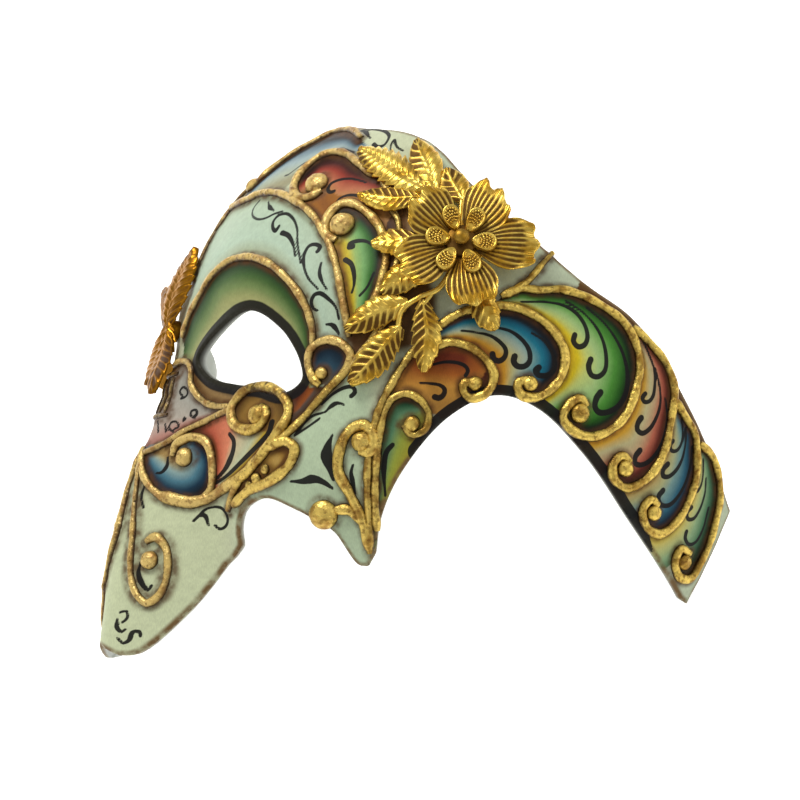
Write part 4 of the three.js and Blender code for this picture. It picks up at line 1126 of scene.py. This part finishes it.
def petal_sheet(turn, length, half_width, ribs, seed):
    def at(u, v, top):
        side = 2 * u - 1
        rib = np.cos(math.pi * side * ribs)
        wave = np.cos(math.pi * side * 2.5 + seed)
        rim = smooth((v - 0.72) / 0.28)
        out = PETAL_START + v * (length - PETAL_START) * (1 - 0.26 * side ** 4) + 0.7 * wave * rim
        spread = side * half_width * np.sin(math.pi * (0.07 + 0.53 * v))
        curl = 3.2 * np.sin(math.pi * 0.62 * v) * (1 - 0.35 * side * side)
        cup = 0.8 * side * side * rim + 0.5 * wave * rim - 0.5 * np.sin(math.pi * v)
        flute = 0.16 * rib * smooth(v * 2.2)
        h = FLOWER_HEIGHT + 0.3 + curl + cup + flute + 0.6 * top
        # Dark lacquer and painted shade in the hollow middle, painted highlight on the ribs and the outer rim
        relief = 0.07 + 0.42 * (0.5 + 0.5 * rib) ** 1.6 * smooth(v * 2) + 0.6 * smooth((v - 0.76) / 0.18)
        return (FLOWER_AT[0] + out * np.cos(turn) - spread * np.sin(turn),
                FLOWER_AT[1] + out * np.sin(turn) + spread * np.cos(turn), h, relief)
    return closed_sheet(at, *PETAL_GRID)


def leaf_sheet(base, tip, half_width, tooth, height, seed, rise=0.0, tilt=0.0):
    length = math.hypot(tip[0] - base[0], tip[1] - base[1])
    da, dz = (tip[0] - base[0]) / length, (tip[1] - base[1]) / length
    veins = max(5, round(length / VEIN_SPACING))

    def at(u, v, top):
        side = 1 - 2 * u
        across = np.abs(side)
        along = v * veins - across * 1.2 + 0.12 * np.sin(9 * v + seed)
        saw = (along * 0.75 + 0.2) % 1
        teeth = 1 + tooth * (saw - 0.6) * smooth(across * 3 - 1.7)
        width = half_width * np.sin(math.pi * (0.05 + 0.91 * v)) ** 0.75 * teeth
        bend = 0.9 * np.sin(2.4 * v + seed)
        vein = (0.5 + 0.5 * np.cos(2 * math.pi * along)) ** 4
        ridge = np.exp(-(across * half_width / 0.5) ** 2)
        fade = smooth(across * 5) * smooth((1 - across) * 6)
        swell = 0.4 * np.sin(3.1 * v * (1 + 0.2 * side) + seed + 1.4 * side)
        body = 0.45 + 0.5 * (1 - across) + 0.75 * np.sin(math.pi * across) * (0.55 + swell)
        h = height + rise * v + tilt * side * width / half_width + top * (body + 0.2 * vein * fade + 0.3 * ridge)
        # Painted highlight on the veins, the midrib, the edges and the swells, dark lacquer and painted shade between
        # them
        relief = 0.28 + 0.55 * vein * fade + 0.6 * ridge + 0.35 * smooth((across - 0.84) / 0.16) + 0.75 * swell
        return (base[0] + v * length * da - side * width * dz + bend * dz * smooth(v * 2),
                base[1] + v * length * dz + side * width * da - bend * da * smooth(v * 2), h, relief)
    return closed_sheet(at, LEAF_COLUMNS, ROWS_PER_VEIN * veins)


def cup_shape(turn):
    """A dished seed cup: chart a, z, h and lacquer and light value over the angle u and the distance v in from its
    rim.
    """
    cos, sin = math.cos(turn), math.sin(turn)
    middle = (FLOWER_AT[0] + CUP_OUT * cos, FLOWER_AT[1] + CUP_OUT * sin)

    def at(u, v):
        r, lon = 1 - v, 2 * math.pi * u
        x = 3.6 * r * np.cos(lon)
        y = 2.9 * r * np.sin(lon) * (0.84 + 0.26 * r * np.cos(lon))
        rim = np.exp(-((r - 0.86) / 0.11) ** 2)
        h = FLOWER_HEIGHT + 3.0 + 0.16 * x + 0.55 * rim - 0.5 * smooth((r - 0.9) / 0.1)
        # Painted highlight on the raised rim and on the side towards the flower's middle
        relief = 0.14 + 0.7 * rim + 0.55 * smooth(-x / 2 - 0.3)
        return middle[0] + x * cos - y * sin, middle[1] + x * sin + y * cos, h, relief
    return at


def cup_dots(at):
    dots = []
    for ring, (r, count) in enumerate(DOT_RINGS):
        for k in range(count):
            lon = 2 * math.pi * (k + 0.5 * (ring % 2)) / count
            if r * math.cos(lon) > -0.36:
                dots.append([float(c) for c in at(np.array(lon / (2 * math.pi)), np.array(1 - r))[:3]])
    return dots


def cup_mesh(at, rows=16, columns=28):
    """Closed body of a seed cup, from its dished top down on to the petals."""
    spots = [(0.0, 1.0)] + [(c / columns, 1 - r / rows) for r in range(1, rows + 1) for c in range(columns)]
    verts = np.array([[float(c) for c in at(np.array(u), np.array(v))] for u, v in spots])
    foot = verts[-columns:] - (0, 0, 1.5, 0)
    foot[:, 3] = 0.1
    verts = np.vstack([verts, foot])
    faces = [(0, 1 + c, 1 + (c + 1) % columns) for c in range(columns)]
    faces += [(a, d, c, b) for a, b, c, d in ring_faces(rows, columns, 1)]
    faces.append([1 + rows * columns + c for c in reversed(range(columns))])
    return on_face(*verts[:, :3].T), faces, verts[:, 3]


def disc_mesh(centre, radius, low, high, shade=0.4, rounding=0.3, columns=40):
    rings = [(radius, low), (radius, high - rounding), (radius - rounding, high), (radius * 0.5, high)]
    turns = [2 * math.pi * c / columns for c in range(columns)]
    verts = np.array([(centre[0] + r * math.cos(t), centre[1] + r * math.sin(t), h) for r, h in rings for t in turns])
    faces = ring_faces(len(rings) - 1, columns)
    faces += [list(range(len(verts) - columns, len(verts))), list(reversed(range(columns)))]
    return on_face(*verts.T), faces, np.full(len(verts), shade)


def build_flower(settings, material):
    sheets = [petal_sheet(math.radians(turn), length, settings.petal_half_width, settings.rib_count, 1.7 * k)
              for k, (turn, length) in enumerate(PETALS)]
    sheets.append(disc_mesh(FLOWER_AT, 4.2, FLOWER_HEIGHT, FLOWER_HEIGHT + HUB_RISE, shade=0.06))
    cups = [cup_shape(turn) for turn in CUP_TURNS]
    sheets_piece("flower_petals", sheets + [cup_mesh(cup) for cup in cups], material, "flower")
    dots = np.array([dot for cup in cups for dot in cup_dots(cup)])
    guide = points_mesh(dots[:, :2], dots[:, 2], np.full(len(dots), DOT_RADIUS))
    mesh = baked_mesh("flower_seeds", guide, knob_tree(), material, {"Rows": 4, "Flatness": 1.0, "Unevenness": 0.0})
    finish_piece("flower_seeds", mesh, material, "flower")
    add_lacquer_and_light(mesh, 0.9)


def build_bead(material):
    guide = points_mesh([FLOWER_AT], FLOWER_HEIGHT + HUB_RISE + 0.3 + 0.8 * BEAD_RADIUS, [BEAD_RADIUS / 1000])
    mesh = baked_mesh("flower_bead_round", guide, knob_tree(), material, {
        "Rows": 24, "Flatness": 0.8, "Unevenness": 0.00012, "Grain": 500.0})
    finish_piece("flower_bead_round", mesh, material, "flower_bead")
    add_lacquer_and_light(mesh, 0.24)


def build_spray(material):
    sheets = [leaf_sheet(base, tip, half, tooth, SPRAY_HEIGHT, 1.3 * k)
              for k, (base, tip, half, tooth) in enumerate(SPRAY_LEAVES)]
    sheets.append(disc_mesh(FLOWER_AT, 7, SPRAY_HEIGHT, FLOWER_HEIGHT - 0.3))
    sheets.append(disc_mesh(FLOWER_AT, 3.5, 0.3, SPRAY_HEIGHT + 0.4))
    sheets_piece("spray_leaves", sheets, material, "leaf_spray")
    tracks = []
    for k, line in enumerate(SPRAY_STEMS):
        track = smooth_line(line, 0.6)
        thick = 0.0006 if k else 0.00078
        tracks.append((on_face(*track.T, SPRAY_HEIGHT + 0.6), np.full(len(track), thick)))
    mesh = baked_mesh("spray_stems", guide_mesh(tracks), tube_tree(), material, {
        "Sides": 10, "Unevenness": 0.0001, "Grain": 500.0})
    finish_piece("spray_stems", mesh, material, "leaf_spray")
    add_lacquer_and_light(mesh, 0.62)


def build_far_leaves(material):
    sheets = [leaf_sheet(base, tip, half, 0.22, 3.1, 0.9 * k, rise, tilt)
              for k, (base, tip, half, rise, tilt) in enumerate(FAR_LEAVES)]
    obj = sheets_piece("far_leaves", sheets + [disc_mesh((-6, 20), 3, 0.3, 4.1)], material, "far_brow_leaves")
    # Browner brass on these leaves is painted shade, for they face away from the light
    add_values(obj.data, "tarnish", np.ones(len(obj.data.vertices)))


# ---------------------------------------------------------------- stage
# The photograph's view, in the head's own axes: degrees round from the nose, over its level and of roll,
# focal length in picture widths of 800, and distance in millimetres
VIEW_ROUND, VIEW_OVER, VIEW_ROLL = 72, -8, 1.2
FOCAL, REACH, PICTURE, SENSOR = 3240.0, 900.0, 800.0, 36.0
CAMERA_TARGET = (-40.0, -60.0, 0.0)
# The place in the picture at which the anchor point of the face shows
CAMERA_SPOT = (166.0, 397.0)
CAMERA_ANCHOR = (0.0, 0.5, 0.0)
# Name, place, size and power in watts
LIGHTS = [("key", (-0.35, 0.55, 0.95), 0.4, 7.5), ("fill", (-0.8, -0.9, 0.7), 0.9, 2.2),
          ("rim", (0.9, 0.2, 0.7), 0.6, 1.8)]
LIGHT_TARGET = Vector((0, 0, 0.04))
FLOOR = 6
FLOOR_DROP = -0.0004


def build_camera():
    az, el, roll = math.radians(VIEW_ROUND), math.radians(VIEW_OVER), math.radians(VIEW_ROLL)
    out = np.array([-math.sin(az) * math.cos(el), math.cos(az) * math.cos(el), math.sin(el)])
    right = np.array([-math.cos(az), -math.sin(az), 0.0])
    up = np.cross(right, -out)
    right, up = math.cos(roll) * right + math.sin(roll) * up, -math.sin(roll) * right + math.cos(roll) * up
    eye = np.array(CAMERA_TARGET) + REACH * out
    ray = np.array(CAMERA_ANCHOR) - eye
    depth = ray @ -out
    x0 = CAMERA_SPOT[0] - FOCAL * (ray @ right) / depth
    y0 = CAMERA_SPOT[1] + FOCAL * (ray @ up) / depth
    aim = -out + right * (PICTURE / 2 - x0) / FOCAL - up * (PICTURE / 2 - y0) / FOCAL
    aim /= np.linalg.norm(aim)
    right = np.cross(aim, up)
    right /= np.linalg.norm(right)
    axes = np.stack([HEAD_AXES @ right, HEAD_AXES @ np.cross(right, aim), -(HEAD_AXES @ aim), lying(eye)], -1)
    data = bpy.data.cameras.new("camera")
    data.sensor_width = SENSOR
    data.lens = FOCAL * SENSOR / PICTURE
    data.clip_start, data.clip_end = 0.05, 50.0
    camera = add_object("camera", data)
    camera.matrix_world = Matrix([*axes.tolist(), (0, 0, 0, 1)])
    bpy.context.scene.camera = camera


def build_stage(settings):
    mesh = bpy.data.meshes.new("floor")
    corners = [(-FLOOR, -FLOOR), (FLOOR, -FLOOR), (FLOOR, FLOOR), (-FLOOR, FLOOR)]
    mesh.from_pydata([(x, y, FLOOR_DROP) for x, y in corners], [], [(0, 1, 2, 3)])
    mesh.materials.append(floor_material())
    add_object("floor", mesh)
    world = bpy.data.worlds.new("studio")
    world.use_nodes = True
    background = world.node_tree.nodes["Background"]
    background.inputs["Color"].default_value = (1, 1, 1, 1)
    background.inputs["Strength"].default_value = 0.42
    bpy.context.scene.world = world
    for name, place, size, power in LIGHTS:
        data = bpy.data.lights.new(name, "AREA")
        data.size = size
        data.energy = power * settings.light
        light = add_object(name, data)
        light.location = place
        light.rotation_euler = (LIGHT_TARGET - Vector(place)).to_track_quat("-Z", "Y").to_euler()
    bpy.context.scene.view_settings.view_transform = "Standard"


# ---------------------------------------------------------------- operators and panel
class MASK_OT_shell(bpy.types.Operator):
    """Painted papier-mache shell"""
    bl_idname = "half_mask.shell"
    bl_label = "Painted shell"

    def execute(self, context):
        build_shell(context.scene.mask_shell, lacquer_material(context.scene.mask_shell))
        return {"FINISHED"}


class MASK_OT_scrolls(bpy.types.Operator):
    """Gilded stucco ropes and knobs"""
    bl_idname = "half_mask.scrolls"
    bl_label = "Stucco scrolls"

    def execute(self, context):
        shell = bpy.data.objects["mask_shell_painted"]
        gilt = gilt_material(context.scene.mask_scrolls)
        build_ropes(context.scene.mask_scrolls, gilt, shell)
        build_knobs(gilt, shell)
        return {"FINISHED"}


class MASK_OT_brass(bpy.types.Operator):
    """Stamped brass flower, bead and leaves"""
    bl_idname = "half_mask.brass"
    bl_label = "Brass flower and leaves"

    def execute(self, context):
        brass = brass_material(context.scene.mask_brass)
        build_spray(brass)
        build_flower(context.scene.mask_brass, brass)
        build_bead(brass)
        build_far_leaves(brass)
        return {"FINISHED"}


class MASK_OT_stage(bpy.types.Operator):
    """Camera, floor and lights"""
    bl_idname = "half_mask.stage"
    bl_label = "Stage"

    def execute(self, context):
        build_camera()
        build_stage(context.scene.mask_stage)
        return {"FINISHED"}


# Each group of settings, kept on the scene as mask_ and its operator's name
SETTINGS = {"shell": ShellSettings, "scrolls": ScrollSettings, "brass": BrassSettings, "stage": StageSettings}


class MASK_PT_panel(bpy.types.Panel):
    bl_label = "Half mask"
    bl_idname = "MASK_PT_panel"
    bl_space_type = "VIEW_3D"
    bl_region_type = "UI"
    bl_category = "Half mask"

    def draw(self, context):
        for name in SETTINGS:
            settings = getattr(context.scene, "mask_" + name)
            box = self.layout.box()
            for key in settings.bl_rna.properties.keys():
                if key not in ("rna_type", "name"):
                    box.prop(settings, key)
            box.operator("half_mask." + name)


CLASSES = (*SETTINGS.values(), MASK_OT_shell, MASK_OT_scrolls, MASK_OT_brass, MASK_OT_stage, MASK_PT_panel)


def register():
    for cls in CLASSES:
        bpy.utils.register_class(cls)
    for name, kind in SETTINGS.items():
        setattr(bpy.types.Scene, "mask_" + name, bpy.props.PointerProperty(type=kind))


def unregister():
    for name in SETTINGS:
        delattr(bpy.types.Scene, "mask_" + name)
    for cls in reversed(CLASSES):
        bpy.utils.unregister_class(cls)


def main():
    register()
    bpy.ops.half_mask.stage()
    bpy.ops.half_mask.shell()
    bpy.ops.half_mask.scrolls()
    bpy.ops.half_mask.brass()


if __name__ == "__main__":
    main()
